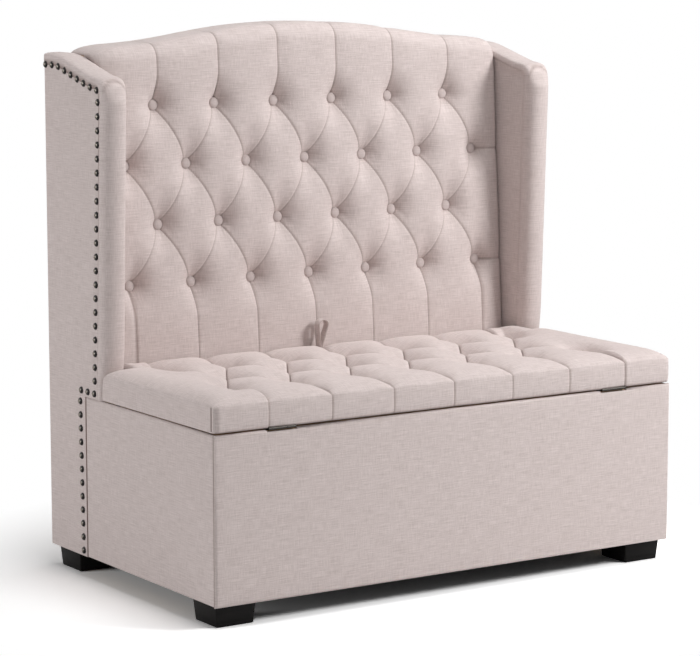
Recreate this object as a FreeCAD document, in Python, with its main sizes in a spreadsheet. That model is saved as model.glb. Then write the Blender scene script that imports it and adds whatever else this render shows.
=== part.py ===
import FreeCAD, Part
import math
import os
import re

import Sketcher
from FreeCAD import Rotation, Vector

# A storage banquette: a padded box on four feet, a tufted lid hinged at its
# front edge, and a tufted back between two wings. X is across the bench,
# the front looks along -Y, and the floor is z = 0.

doc = FreeCAD.newDocument("banquette")

SIZES = [
    # whole bench
    ("bench_width", 1120),
    ("bench_depth", 690),
    ("back_depth", 161),
    ("fit_gap", 0.3),
    ("cut_overrun", 20),
    # storage box
    ("cover_bottom", 44),
    ("box_top", 382),
    ("cover_thick", 8),
    ("cover_round", 6),
    ("board_drop", 1),
    ("frame_bottom", 46),
    ("dust_cloth_thick", 1),
    ("side_board_thick", 15),
    ("front_board_thick", 18),
    ("rear_board_thick", 15),
    ("floor_rise", 20),
    ("floor_board_thick", 9),
    ("batten_wide", 20),
    ("block_side", 90),
    # feet
    ("foot_side", 91),
    ("foot_taper", 4),
    ("foot_arris", 3),
    ("foot_inset_x", 10),
    ("foot_inset_y", 18),
    ("foot_bolt_radius", 4),
    ("foot_bolt_shift", 25),
    ("foot_bolt_floor", 18),
    # lid
    ("lid_gap", 4),
    ("lid_rear_inset", 175),
    ("lid_tongue_long", 62),
    ("lid_wing_gap", 4),
    ("lid_board_thick", 15),
    ("lining_thick", 1),
    ("lining_inset", 30),
    ("lid_edge_high", 42),
    ("lid_crown", 25),
    ("lid_round", 62),
    ("seat_side_margin", 62),
    ("seat_rear_margin", 104),
    ("seat_front_margin", 155),
    ("seat_tuft_deep", 24),
    ("seat_tuft_half", 6),
    ("seat_pleat_share", 0.6),
    ("seat_pleat_deep", 3),
    ("rest_pad_half", 6),
    ("rest_pad_front_inset", 95),
    ("rest_pad_rear_inset", 124),
    # hinges
    ("hinge_inset", 152),
    ("hinge_long", 62),
    ("hinge_deep", 16),
    ("hinge_leaf_thick", 1.6),
    ("hinge_leaf_off", 1.4),
    ("hinge_barrel_radius", 3.2),
    ("hinge_pin_radius", 1.5),
    ("hinge_run_gap", 0.05),
    ("hinge_knuckle_gap", 0.5),
    ("hinge_notch_high", 4),
    # gas struts
    ("strut_inset", 13),
    ("strut_arm", 200),
    ("strut_lid_dip", 4),
    ("strut_box_dip", 76),
    ("strut_tube_radius", 9),
    ("strut_bore_radius", 7.5),
    ("strut_rod_radius", 4),
    ("strut_piston_radius", 7.2),
    ("strut_tube_start", 12),
    ("strut_rod_bare", 35.1),
    ("strut_wall", 6),
    ("strut_rod_short", 21.1),
    ("strut_run_gap", 0.1),
    ("eye_radius", 8),
    ("eye_thick", 8),
    ("stud_radius", 3),
    ("stud_run_gap", 0.05),
    ("stud_head_radius", 5),
    ("stud_head_thick", 2),
    ("bracket_thick", 2),
    ("bracket_gap", 1),
    ("bracket_high", 44),
    ("bracket_wide", 30),
    # pull loop
    ("loop_wide", 12),
    ("loop_inset", 21),
    ("loop_strap", 3),
    ("loop_neck_high", 52),
    ("loop_radius", 12),
    ("loop_rise", 34),
    ("loop_lean", 8),
    # back
    ("rib_thick", 24),
    ("rail_thick", 24),
    ("rail_high", 100),
    ("low_rail_high", 60),
    ("top_rail_drop", 97),
    ("rear_cover_thick", 8),
    ("back_board_thick", 9),
    ("back_foam", 34),
    ("tuft_inset", 111),
    ("tuft_drop", 164.7),
    ("back_lean", 0.0638),
    ("back_side_margin", 62.85),
    ("back_low_margin", 215.4),
    ("back_plump", 28),
    ("back_pleat_share", 0.7),
    ("crest_top", 1139),
    ("crest_rise", 42),
    ("crest_overreach", 6),
    ("crest_pad", 18),
    ("crest_round", 36),
    ("crest_flap", 46),
    ("button_radius", 12),
    ("button_high", 7),
    ("button_gap", 0.4),
    # wings
    ("wing_skin", 10),
    ("wing_frame_thick", 24),
    ("wing_pad_thick", 22),
    ("wing_pad_crown", 5),
    ("wing_drop", 66),
    ("wing_flat_long", 55),
    ("wing_slope_long", 140),
    ("wing_slope_drop", 37),
    ("wing_tip_long", 47),
    ("wing_tip_drop", 7),
    ("wing_foot_back", 25),
    ("wing_bend", 200),
    ("wing_tip_round", 18),
    ("roll_proud", 13),
    # nailheads
    ("nail_radius", 7.5),
    ("nail_high", 3.2),
    ("nail_pitch", 28.6),
    ("nail_edge", 13),
    ("nail_front_edge", 8),
    ("nail_low_edge", 20),
    # bolts that join the back to the box
    ("frame_bolt_radius", 4),
    ("frame_bolt_head_radius", 9),
    ("frame_bolt_head", 4),
    ("frame_bolt_inset", 170),
]

sheet = doc.addObject("Spreadsheet::Sheet", "Sizes")
for row, (name, amount) in enumerate(SIZES, 1):
    sheet.set(f"A{row}", name)
    sheet.set(f"B{row}", str(amount))
    sheet.setAlias(f"B{row}", name)
doc.recompute()

# Places worked out from the sizes, each from the ones above it.
PLACES = {
    "half": "bench_width / 2",
    "front": "-bench_depth / 2",
    "rear": "bench_depth / 2",
    "split_y": "rear - back_depth",
    "board_half": "half - cover_thick",
    "board_front": "front + cover_thick",
    "inner_half": "board_half - side_board_thick",
    "inner_front": "board_front + front_board_thick",
    "inner_rear": "split_y - rear_board_thick",
    "board_top": "box_top - board_drop",
    "foot_top": "frame_bottom - dust_cloth_thick",
    "floor_board_z": "frame_bottom + floor_rise",
    "foot_x": "half - foot_inset_x - foot_side / 2",
    "foot_y": "rear - foot_inset_y - foot_side / 2",
    "lid_under": "box_top + lid_gap",
    "lid_board_z": "lid_under + lining_thick",
    "lid_board_top": "lid_board_z + lid_board_thick",
    "lid_edge": "lid_under + lid_edge_high",
    "lid_rear_y": "rear - lid_rear_inset",
    "lid_shoulder_y": "lid_rear_y - lid_tongue_long",
    "loop_y": "lid_rear_y - loop_inset",
    "seat_front_row_y": "front + seat_front_margin",
    "seat_row_pitch": "(lid_rear_y - seat_rear_margin - seat_front_row_y) / 2",
    "rest_pad_front_y": "front + rest_pad_front_inset",
    "rest_pad_rear_y": "split_y - rest_pad_rear_inset",
    "hinge_x": "half - hinge_inset",
    "hinge_y": "front + hinge_barrel_radius",
    "hinge_z": "box_top + lid_gap / 2",
    "leaf_low_z": "hinge_z - hinge_leaf_off - hinge_leaf_thick",
    "leaf_start_y": "hinge_y + hinge_barrel_radius + 2 * hinge_knuckle_gap",
    "knuckle_long": "(hinge_long - 2 * hinge_knuckle_gap) / 3",
    "rib_rear": "rear - rear_cover_thick",
    "frame_x": "half - wing_skin",
    "frame_inner_x": "frame_x - wing_frame_thick",
    "pad_inner_x": "frame_inner_x - wing_pad_thick",
    "lid_tongue_half": "pad_inner_x - lid_wing_gap",
    "seat_tuft_pitch": "(lid_tongue_half - seat_side_margin) / 3",
    "back_tuft_pitch": "(pad_inner_x - back_side_margin) / 3",
    "crest_half": "pad_inner_x + crest_overreach",
    "crest_shoulder": "crest_top - crest_rise",
    "top_rail_z": "crest_shoulder - top_rail_drop",
    "tuft_plane_y": "rear - tuft_inset",
    "tuft_top_z": "crest_top - tuft_drop",
    "tuft_low_z": "lid_under + back_low_margin",
    "back_row_pitch": "(tuft_top_z - tuft_low_z) / 3",
    "wing_top": "crest_top - wing_drop",
    "wing_slope_rear_y": "rear - wing_flat_long",
    "wing_slope_front_y": "wing_slope_rear_y - wing_slope_long",
    "wing_slope_z": "wing_top - wing_slope_drop",
    "wing_tip_y": "wing_slope_front_y - wing_tip_long",
    "wing_tip_z": "wing_slope_z - wing_tip_drop",
    "wing_foot_y": "wing_tip_y + wing_foot_back",
    "rib_front": "split_y + rail_thick",
    "wing_grade": "wing_slope_drop / wing_slope_long",
    "board_lean": "tuft_plane_y + back_foam - back_lean * tuft_top_z",
    "rib_lean": "board_lean + back_board_thick",
    "board_top_z": "crest_shoulder - crest_pad - fit_gap",
    "pad_top_y": "(board_lean - fit_gap + back_lean * (wing_slope_z - wing_grade * wing_slope_front_y))"
                 " / (1 - back_lean * wing_grade)",
    "pad_top_z": "wing_slope_z + wing_grade * (pad_top_y - wing_slope_front_y) - 2 * fit_gap",
    "top_rail_y": "rib_lean + back_lean * board_top_z",
    "lid_arm_y": "hinge_y + strut_arm * cos(strut_lid_dip)",
    "lid_arm_z": "hinge_z - strut_arm * sin(strut_lid_dip)",
    "box_arm_y": "hinge_y + strut_arm * cos(strut_box_dip)",
    "box_arm_z": "hinge_z - strut_arm * sin(strut_box_dip)",
    "strut_tilt": "(strut_lid_dip + strut_box_dip) / 2",
    "strut_shut": "2 * strut_arm * sin((strut_box_dip - strut_lid_dip) / 2)",
    "strut_rod_long": "strut_shut - strut_rod_short",
    "strut_x": "inner_half - strut_inset",
    "frame_bolt_x": "half - frame_bolt_inset",
    "leg_x": "strut_x + eye_thick / 2 + stud_head_thick + bracket_thick + bracket_gap",
}
NAMES = {name for name, amount in SIZES}


def bound(text):
    """An expression of sizes and places, in terms of the sheet's cells."""
    def swap(match):
        word = match.group()
        if word in PLACES:
            return f"({bound(PLACES[word])})"
        return f"Sizes.{word}" if word in NAMES else word
    return re.sub(r"[a-z_]\w*", swap, text)


def value(text):
    """What an expression of sizes and places comes to."""
    result = sheet.evalExpression(bound(text))
    return float(getattr(result, "Value", result))


# Ways of making a piece. Each gives a document object whose sizes follow
# the sheet.
def box(label, x, y, z):
    """A square-edged board, from its two limits along each axis."""
    piece = doc.addObject("Part::Box", label)
    for side, axis, (low, high) in (("Length", "x", x), ("Width", "y", y), ("Height", "z", z)):
        piece.setExpression(side, bound(f"({high}) - ({low})"))
        piece.setExpression(f"Placement.Base.{axis}", bound(low))
    return piece


TURNS = {
    "x": Rotation(Vector(0, 1, 0), 90),
    "y": Rotation(Vector(1, 0, 0), -90),
    "z": Rotation(),
}


def rod(label, axis, centre, radius, low, high):
    """A round bar along an axis, through a centre on the other two axes."""
    piece = doc.addObject("Part::Cylinder", label)
    piece.Placement.Rotation = TURNS[axis]
    piece.setExpression("Radius", bound(radius))
    piece.setExpression("Height", bound(f"({high}) - ({low})"))
    others = [name for name in "xyz" if name != axis]
    for name, place in zip([axis] + others, [low] + list(centre)):
        piece.setExpression(f"Placement.Base.{name}", bound(place))
    return piece


def joined(label, pieces):
    whole = doc.addObject("Part::MultiFuse", label)
    whole.Shapes = pieces
    return whole


def group(label, pieces):
    """Like pieces that stay separate solids under one name."""
    whole = doc.addObject("Part::Compound", label)
    whole.Links = pieces
    return whole


def cut(label, piece, tools):
    """A piece less one or more others."""
    result = doc.addObject("Part::Cut", label)
    result.Base = piece
    result.Tool = tools[0] if len(tools) == 1 else group(f"{label}_cuts", tools)
    return result


def mirrored(label, piece):
    """The same piece on the other side of the bench."""
    twin = doc.addObject("Part::Mirroring", label)
    twin.Source = piece
    twin.Base = Vector(0, 0, 0)
    twin.Normal = Vector(1, 0, 0)
    return twin


def both_sides(name, piece):
    """The right piece under its full name, and its mirror image."""
    piece.Label = f"{name}_right"
    return [piece, mirrored(f"{name}_left", piece)]


def sketch_on(body, role, label):
    sketch = body.newObject("Sketcher::SketchObject", label)
    plane = next(item for item in body.Origin.OriginFeatures if item.Role == role)
    sketch.AttachmentSupport = [(plane, "")]
    sketch.MapMode = "FlatFace"
    return sketch


def outline(body, role, label, points):
    """A closed outline of straight lines, each corner bound to the sizes."""
    sketch = sketch_on(body, role, label)
    corners = [Vector(value(u), value(v), 0) for u, v in points]
    count = len(corners)
    for index, corner in enumerate(corners):
        sketch.addGeometry(Part.LineSegment(corner, corners[(index + 1) % count]), False)
    for index in range(count):
        after = (index + 1) % count
        sketch.addConstraint(Sketcher.Constraint("Coincident", index, 2, after, 1))
    for index, (point, corner) in enumerate(zip(points, corners)):
        for kind, place, text in zip(("DistanceX", "DistanceY"), corner, point):
            limit = Sketcher.Constraint(kind, -1, 1, index, 1, place)
            number = sketch.addConstraint(limit)
            sketch.setExpression(f"Constraints[{number}]", bound(text))
    return sketch


def circle(body, role, label, radius):
    """A circle about the body's own origin."""
    sketch = sketch_on(body, role, label)
    sketch.addGeometry(Part.Circle(Vector(0, 0, 0), Vector(0, 0, 1), value(radius)), False)
    sketch.addConstraint(Sketcher.Constraint("Coincident", 0, 3, -1, 1))
    number = sketch.addConstraint(Sketcher.Constraint("Radius", 0, value(radius)))
    sketch.setExpression(f"Constraints[{number}]", bound(radius))
    return sketch


def pad(body, sketch, length, side="One side"):
    feature = body.newObject("PartDesign::Pad", f"{body.Name}_pad")
    feature.Profile = sketch
    feature.SideType = side
    feature.setExpression("Length", bound(length))
    return feature


def plate(label, role, points, low, high):
    """A flat piece cut to an outline, between two limits across its plane."""
    body = doc.addObject("PartDesign::Body", label)
    pad(body, outline(body, role, f"{label}_outline", points), f"({high}) - ({low})")
    axis, start = {"YZ_Plane": ("x", low), "XZ_Plane": ("y", high), "XY_Plane": ("z", low)}[role]
    body.setExpression(f"Placement.Base.{axis}", bound(start))
    doc.recompute()
    return body


def hexagon(across, up, radius):
    """Corners of a bolt's head about a point."""
    return [(f"{across} + {radius} * cos({turn})", f"{up} + {radius} * sin({turn})")
            for turn in range(0, 360, 60)]


def rounded(body, radius, chosen, way="Fillet"):
    """Rounds the edges of a body that a test of their middle and direction picks, or planes them off."""
    base = body.Tip
    picked = []
    for number, edge in enumerate(base.Shape.Edges, 1):
        start, end = edge.Vertexes[0].Point, edge.Vertexes[-1].Point
        if chosen((start + end) / 2, end - start):
            picked.append(f"Edge{number}")
    feature = body.newObject(f"PartDesign::{way}", f"{body.Name}_round")
    feature.Base = (base, picked)
    feature.setExpression("Radius" if way == "Fillet" else "Size", bound(radius))
    doc.recompute()
    return body


def near(first, second):
    """Whether two coordinates are the same."""
    return abs(first - second) < 1e-6 * value("bench_width")


def shaped(label, shape):
    """A piece whose form is worked out from the sizes by its own function."""
    piece = doc.addObject("Part::Feature", label)
    piece.Shape = shape
    return piece


def soft_solid(loops, pull):
    """A padded solid through closed loops of points, folded along its pleats.

    Each four-sided patch is split along the diagonal that lies deeper, by
    the direction in which the stitches pull.
    """
    faces = []

    def facet(*corners):
        sides = [corners[i] - corners[i - 1] for i in range(len(corners))]
        if min(side.Length for side in sides) > 1e-7:
            faces.append(Part.Face(Part.makePolygon(list(corners) + [corners[0]])))

    count = len(loops[0])
    for near_loop, far_loop in zip(loops, loops[1:]):
        for i in range(count):
            j = (i + 1) % count
            a, b, c, d = near_loop[i], near_loop[j], far_loop[j], far_loop[i]
            if (a + c).dot(pull) >= (b + d).dot(pull):
                facet(a, b, c)
                facet(a, c, d)
            else:
                facet(a, b, d)
                facet(b, c, d)
    for loop in (loops[0], loops[-1]):
        faces.append(Part.Face(Part.makePolygon(loop + [loop[0]])))
    shell = Part.Shell(faces)
    shell.sewShape()
    solid = Part.Solid(shell)
    if solid.Volume < 0:
        solid.reverse()
    return solid


def at_stitch(place, spacing, half_pit):
    """A place moved to the middle of a stitch, where it lies in the stitch's pit."""
    middle = round(place / spacing) * spacing
    off = abs(place - middle)
    return middle if off < half_pit or near(off, half_pit) else place


def puff(across, along, pleat_share):
    """How far a diamond-tufted pad stands up, from 0 at a stitch to 1.

    across and along are counted in pitches, and stitches lie where their sum
    and their difference are both whole.
    """
    pleat_power, puff_power = 0.8, 0.6
    one = abs(math.sin(math.pi * (across + along)))
    two = abs(math.sin(math.pi * (across - along)))
    high, low = max(one, two), min(one, two)
    return pleat_share * high ** pleat_power + (1 - pleat_share) * low ** puff_power * high


parts = []

# Storage box: front, side and rear boards, a floor on battens, corner blocks
# for the feet, and a black cloth underneath.
box_height = ("frame_bottom", "board_top")
parts.append(box("front_board", ("-board_half", "board_half"), ("board_front", "inner_front"), box_height))
parts += both_sides("side_board", box(
    "side_board_right", ("inner_half", "board_half"), ("inner_front", "split_y"), box_height))
frame_bolt_z = "lid_under - rail_high / 2"
frame_bolt_places = ["-frame_bolt_x", "-frame_bolt_x / 3", "frame_bolt_x / 3", "frame_bolt_x"]


def frame_bolt_shanks(label):
    return [
        rod(f"{label}_{number}", "y", (place, frame_bolt_z), "frame_bolt_radius",
            "inner_rear", "rib_front")
        for number, place in enumerate(frame_bolt_places)
    ]


rear_plain = box("rear_board_plain", ("-inner_half", "inner_half"), ("inner_rear", "split_y"), box_height)
parts.append(cut("rear_board", rear_plain, frame_bolt_shanks("rear_board_hole")))
parts.append(box(
    "floor_board", ("-inner_half", "inner_half"), ("inner_front", "inner_rear"),
    ("floor_board_z", "floor_board_z + floor_board_thick")))
parts.append(group("floor_battens", both_sides("floor_batten", box(
    "floor_batten_right", ("inner_half - batten_wide", "inner_half"),
    ("inner_front + block_side", "inner_rear"), ("frame_bottom", "floor_board_z")))))

foot_bolt_x = "foot_x - foot_bolt_shift"
foot_ends = {"front": "-foot_y", "rear": "foot_y"}


def foot_bolt(label, end):
    """The bolt that stands in a foot and the block above it."""
    return rod(label, "z", (foot_bolt_x, foot_ends[end]), "foot_bolt_radius",
               "foot_bolt_floor", "floor_board_z")


def bolt_slit(label, middle):
    """The square opening in the cloth round a foot's bolt."""
    half_slit = "(foot_bolt_radius + fit_gap)"
    return box(label, (f"{foot_bolt_x} - {half_slit}", f"{foot_bolt_x} + {half_slit}"),
               (f"{middle} - {half_slit}", f"{middle} + {half_slit}"), ("foot_top", "frame_bottom"))


block_places = {
    "front": (("inner_half - block_side", "inner_half"), ("inner_front", "inner_front + block_side")),
    "rear": (("frame_inner_x - rib_thick - block_side", "frame_inner_x - rib_thick"),
             ("rib_front", "rib_front + block_side")),
}
blocks = []
bolts = []
cloth_holes = []
for end, (block_x, block_y) in block_places.items():
    plain = box(f"block_{end}_plain", block_x, block_y, ("frame_bottom", "floor_board_z"))
    blocks += both_sides(f"block_{end}", cut(f"block_{end}_right", plain, [foot_bolt(f"block_{end}_hole", end)]))
    bolts += both_sides(f"foot_bolt_{end}", foot_bolt(f"foot_bolt_{end}_right", end))
    cloth_holes += both_sides(f"cloth_slit_{end}", bolt_slit(f"cloth_slit_{end}_right", foot_ends[end]))
parts.append(group("corner_blocks", blocks))
parts.append(group("foot_bolts", bolts))
cloth = box("dust_cloth_plain", ("-frame_inner_x", "frame_inner_x"), ("board_front", "rib_rear"),
            ("foot_top", "frame_bottom"))
parts.append(cut("dust_cloth", cloth, cloth_holes))

# Feet: black blocks that narrow a little towards the floor.
UPRIGHT = Rotation(Vector(1, 0, 0), 90)
top_half = "foot_side / 2"
floor_half = "(foot_side / 2 - foot_taper)"
for end, middle in foot_ends.items():
    body = doc.addObject("PartDesign::Body", f"foot_{end}_body")
    block = body.newObject("PartDesign::AdditiveWedge", f"foot_{end}_block")
    for axis in "XZ":
        for limit, half_side in ((axis, floor_half), (f"{axis}2", top_half)):
            block.setExpression(f"{limit}min", bound(f"-{half_side}"))
            block.setExpression(f"{limit}max", bound(half_side))
    block.setExpression("Ymin", bound("0"))
    block.setExpression("Ymax", bound("foot_top"))
    body.Placement.Rotation = UPRIGHT
    for axis, place in (("x", "foot_x"), ("y", middle)):
        body.setExpression(f"Placement.Base.{axis}", bound(place))
    doc.recompute()
    rounded(body, "foot_arris", lambda middle_point, along: abs(along.y) > along.Length / 2, "Chamfer")
    drilled = cut(f"foot_{end}_right", body, [foot_bolt(f"foot_{end}_hole", end)])
    parts += both_sides(f"foot_{end}", drilled)

# Box covers: fabric over thin foam, notched at the front for the hinges.
hinge_half = "(hinge_long / 2 + hinge_barrel_radius)"


def hinge_notches(label, low, high):
    return both_sides(label, box(
        f"{label}_right", (f"hinge_x - {hinge_half}", f"hinge_x + {hinge_half}"),
        ("front - cut_overrun", "board_front"), (low, high)))


front_cover_body = plate(
    "front_cover_body", "XY_Plane",
    [("-half", "front"), ("half", "front"), ("half", "board_front"), ("-half", "board_front")],
    "cover_bottom", "box_top")
rounded(front_cover_body, "cover_round", lambda middle, along: near(middle.y, value("front")))
parts.append(cut("front_cover", front_cover_body,
                 hinge_notches("front_notch", "box_top - hinge_notch_high", "box_top + cut_overrun")))
side_cover = plate(
    "side_cover_right", "XY_Plane",
    [("board_half", "board_front"), ("half", "board_front"), ("half", "split_y"), ("board_half", "split_y")],
    "cover_bottom", "box_top")
rounded(side_cover, "cover_round", lambda middle, along: near(middle.x, value("half")) and along.y)
parts += both_sides("side_cover", side_cover)

# Wings: a board frame, an outer skin that runs down behind the box to the
# bottom, a crowned inner pad, and a roll along the front and top edges.
skin_outline = [
    ("split_y", "cover_bottom"), ("rear", "cover_bottom"), ("rear", "wing_top"),
    ("wing_slope_rear_y", "wing_top"), ("wing_slope_front_y", "wing_slope_z"),
    ("wing_tip_y", "wing_tip_z"), ("wing_foot_y", "box_top"), ("split_y", "box_top"),
]
frame_outline = [
    ("split_y", "frame_bottom"), ("rib_rear", "frame_bottom"), ("rib_rear", "wing_top"),
    ("wing_slope_rear_y", "wing_top"), ("wing_slope_front_y", "wing_slope_z"),
    ("wing_tip_y", "wing_tip_z"), ("wing_foot_y", "box_top"), ("split_y", "box_top"),
]
pad_front = "wing_foot_y - (wing_foot_y - wing_tip_y) * (lid_gap + fit_gap) / (wing_tip_z - box_top)"
pad_rear = "board_lean + back_lean * lid_under - fit_gap"
pad_outline = [
    (pad_front, "lid_under + fit_gap"), (pad_rear, "lid_under + fit_gap"),
    ("pad_top_y", "pad_top_z"),
    ("wing_slope_front_y", "wing_slope_z"), ("wing_tip_y", "wing_tip_z"),
]
bends = [("wing_slope_rear_y", "wing_top", "wing_bend"), ("wing_tip_y", "wing_tip_z", "wing_tip_round")]


def wing_plate(label, points, low, high, corners):
    body = plate(label, "YZ_Plane", points, low, high)
    for across, up, radius in corners:
        rounded(body, radius, lambda middle, along: (
            near(middle.y, value(across)) and near(middle.z, value(up)) and abs(along.x) > 0))
    return body


parts += both_sides("wing_skin", wing_plate("wing_skin_right", skin_outline, "frame_x", "half", bends))
parts += both_sides("wing_frame", wing_plate(
    "wing_frame_right", frame_outline, "frame_inner_x", "frame_x", bends))

wing_pad = wing_plate("wing_pad_plain", pad_outline, "pad_inner_x", "frame_inner_x", bends[1:])


def crowned_column():
    """A column whose inner face curves back towards the wing's front edge."""
    inner, outer = value("pad_inner_x"), value("frame_inner_x")
    ahead, flat, rear = value("wing_tip_y - roll_proud"), value("split_y"), value("rear")
    edge_x = inner + value("wing_pad_crown")
    corners = [Vector(edge_x, ahead, 0), Vector(outer, ahead, 0), Vector(outer, rear, 0),
               Vector(inner, rear, 0), Vector(inner, flat, 0)]
    edges = [Part.makeLine(a, b) for a, b in zip(corners, corners[1:])]
    rise_share = 0.25
    swell = Vector(inner + rise_share * value("wing_pad_crown"), (ahead + flat) / 2, 0)
    edges.append(Part.Arc(corners[-1], swell, corners[0]).toShape())
    return Part.Face(Part.Wire(edges)).extrude(Vector(0, 0, value("crest_top")))


wing_pad_crowned = doc.addObject("Part::Common", "wing_pad_crowned")
wing_pad_crowned.Base = wing_pad
wing_pad_crowned.Tool = shaped("wing_pad_column", crowned_column())
parts += both_sides("wing_pad", wing_pad_crowned)


def bent_path(points, radii):
    """A line through points in a plane, with an arc at each inner corner."""
    edges = []
    start = points[0]
    for before, corner, after, radius in zip(points, points[1:], points[2:], radii):
        back = (before - corner).normalize()
        ahead = (after - corner).normalize()
        half_angle = back.getAngle(ahead) / 2
        reach = radius / math.tan(half_angle)
        first, last = corner + back * reach, corner + ahead * reach
        inward = (back + ahead).normalize()
        middle = corner + inward * (radius / math.sin(half_angle) - radius)
        edges.append(Part.makeLine(start, first))
        edges.append(Part.Arc(first, middle, last).toShape())
        start = last
    edges.append(Part.makeLine(start, points[-1]))
    return Part.Wire(edges)


def roll_shape():
    """The padded roll: a shallow arc carried along the wing's front and top."""
    low_x, high_x = value("pad_inner_x"), value("half")
    places = [("wing_foot_y - fit_gap", "box_top + 2 * fit_gap"),
              ("wing_tip_y - fit_gap", "wing_tip_z + fit_gap"),
              ("wing_slope_front_y", "wing_slope_z + fit_gap"),
              ("wing_slope_rear_y", "wing_top + fit_gap"), ("rear", "wing_top + fit_gap")]
    points = [Vector(low_x, value(across), value(up)) for across, up in places]
    radii = [value("wing_tip_round"), value("wing_tip_round"), value("wing_bend")]
    path = bent_path(points, radii)
    first, last = points[0], points[0] + Vector(high_x - low_x, 0, 0)
    ahead = (points[1] - points[0]).normalize()
    outward = Vector(0, -ahead.z, ahead.y)
    peak = (first + last) / 2 + outward * value("roll_proud")
    section = Part.Wire([Part.Arc(first, peak, last).toShape(), Part.makeLine(last, first)])
    return path.makePipeShell([section], True, False)


parts += both_sides("wing_roll", shaped("wing_roll_right", roll_shape()))

# Back: ribs and rails, an arched top rail, a leaning board and the rear cover.
rib_outline = [
    ("rib_front", "frame_bottom"), ("rib_rear", "frame_bottom"), ("rib_rear", "top_rail_z"),
    ("rib_lean + back_lean * top_rail_z", "top_rail_z"),
    ("rib_lean + back_lean * lid_under", "lid_under"), ("rib_front", "lid_under"),
]
parts += both_sides("back_rib", plate(
    "back_rib_right", "YZ_Plane", rib_outline, "frame_inner_x - rib_thick", "frame_inner_x"))
parts.append(plate("back_rib_middle", "YZ_Plane", rib_outline, "-rib_thick / 2", "rib_thick / 2"))
rail_span = ("-frame_inner_x", "frame_inner_x")
rail_depth = ("split_y", "rib_front")
upper = box("upper_rail_plain", rail_span, rail_depth, ("lid_under - rail_high", "lid_under"))
parts.append(cut("upper_rail", upper, frame_bolt_shanks("upper_rail_hole")))
parts.append(box("lower_rail", rail_span, rail_depth, ("frame_bottom", "frame_bottom + low_rail_high")))
frame_bolts = []
for number, (place, shank) in enumerate(zip(frame_bolt_places, frame_bolt_shanks("frame_bolt_shank"))):
    head = plate(f"frame_bolt_head_{number}", "XZ_Plane", hexagon(place, frame_bolt_z, "frame_bolt_head_radius"),
                 "inner_rear - frame_bolt_head", "inner_rear")
    frame_bolts.append(joined(f"frame_bolt_{number}", [head, shank]))
parts.append(group("frame_bolts", frame_bolts))
board_outline = [
    (f"board_lean + back_lean * {height} + {deep}", height)
    for height, deep in (("lid_under", 0), ("board_top_z", 0),
                         ("board_top_z", "back_board_thick"), ("lid_under", "back_board_thick"))
]
board_plain = plate("back_board_plain", "YZ_Plane", board_outline, "-frame_inner_x", "frame_inner_x")
roll_spaces = both_sides("roll_space", box(
    "roll_space_right", ("pad_inner_x - fit_gap", "half"), ("0", "rear"), ("pad_top_z", "crest_top")))
parts.append(cut("back_board", board_plain, roll_spaces))


def crest(across):
    """Height of the bowed crest: one arc over the middle, its mirror down to each shoulder."""
    turn, half_rise = value("crest_half / 2"), value("(crest_top - crest_shoulder) / 2")
    radius = (turn ** 2 + half_rise ** 2) / (2 * half_rise)
    out = min(abs(across), 2 * turn)
    if out < turn:
        return value("crest_top") - radius + math.sqrt(radius ** 2 - out ** 2)
    return value("crest_shoulder") + radius - math.sqrt(radius ** 2 - (2 * turn - out) ** 2)


def arched_board(drop, half_width, low, depth, end_top):
    """A board whose top follows the crest in three arcs, with level ends by the wings."""
    front_y, rear_y = depth
    turn, inner = value("crest_half") / 2, value("pad_inner_x - fit_gap")
    stops = [-inner, -turn, turn, inner]

    def top(across):
        return Vector(across, front_y, crest(across) - drop)

    edges = [Part.Arc(top(a), top((a + b) / 2), top(b)).toShape() for a, b in zip(stops, stops[1:])]
    right = [Vector(inner, front_y, end_top), Vector(half_width, front_y, end_top),
             Vector(half_width, front_y, low)]
    left = [Vector(-corner.x, front_y, corner.z) for corner in reversed(right)]
    corners = [top(inner)] + right + left + [top(-inner)]
    edges += [Part.makeLine(a, b) for a, b in zip(corners, corners[1:])]
    face = Part.Face(Part.Wire(edges))
    return face.extrude(Vector(0, rear_y - front_y, 0))


parts.append(shaped("top_rail", arched_board(
    value("crest_pad + fit_gap"), value("frame_inner_x"), value("top_rail_z"),
    (value("top_rail_y"), value("rib_rear")), value("pad_top_z"))))
parts.append(shaped("rear_cover", arched_board(
    value("crest_flap + fit_gap"), value("frame_x"), value("cover_bottom"),
    (value("rib_rear"), value("rear")), value("wing_top"))))


# Back cushion: diamond tufting between the wings, rolled over the top rail.
def tuft_plane(height):
    return value("tuft_plane_y") + value("back_lean") * (height - value("tuft_top_z"))


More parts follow.
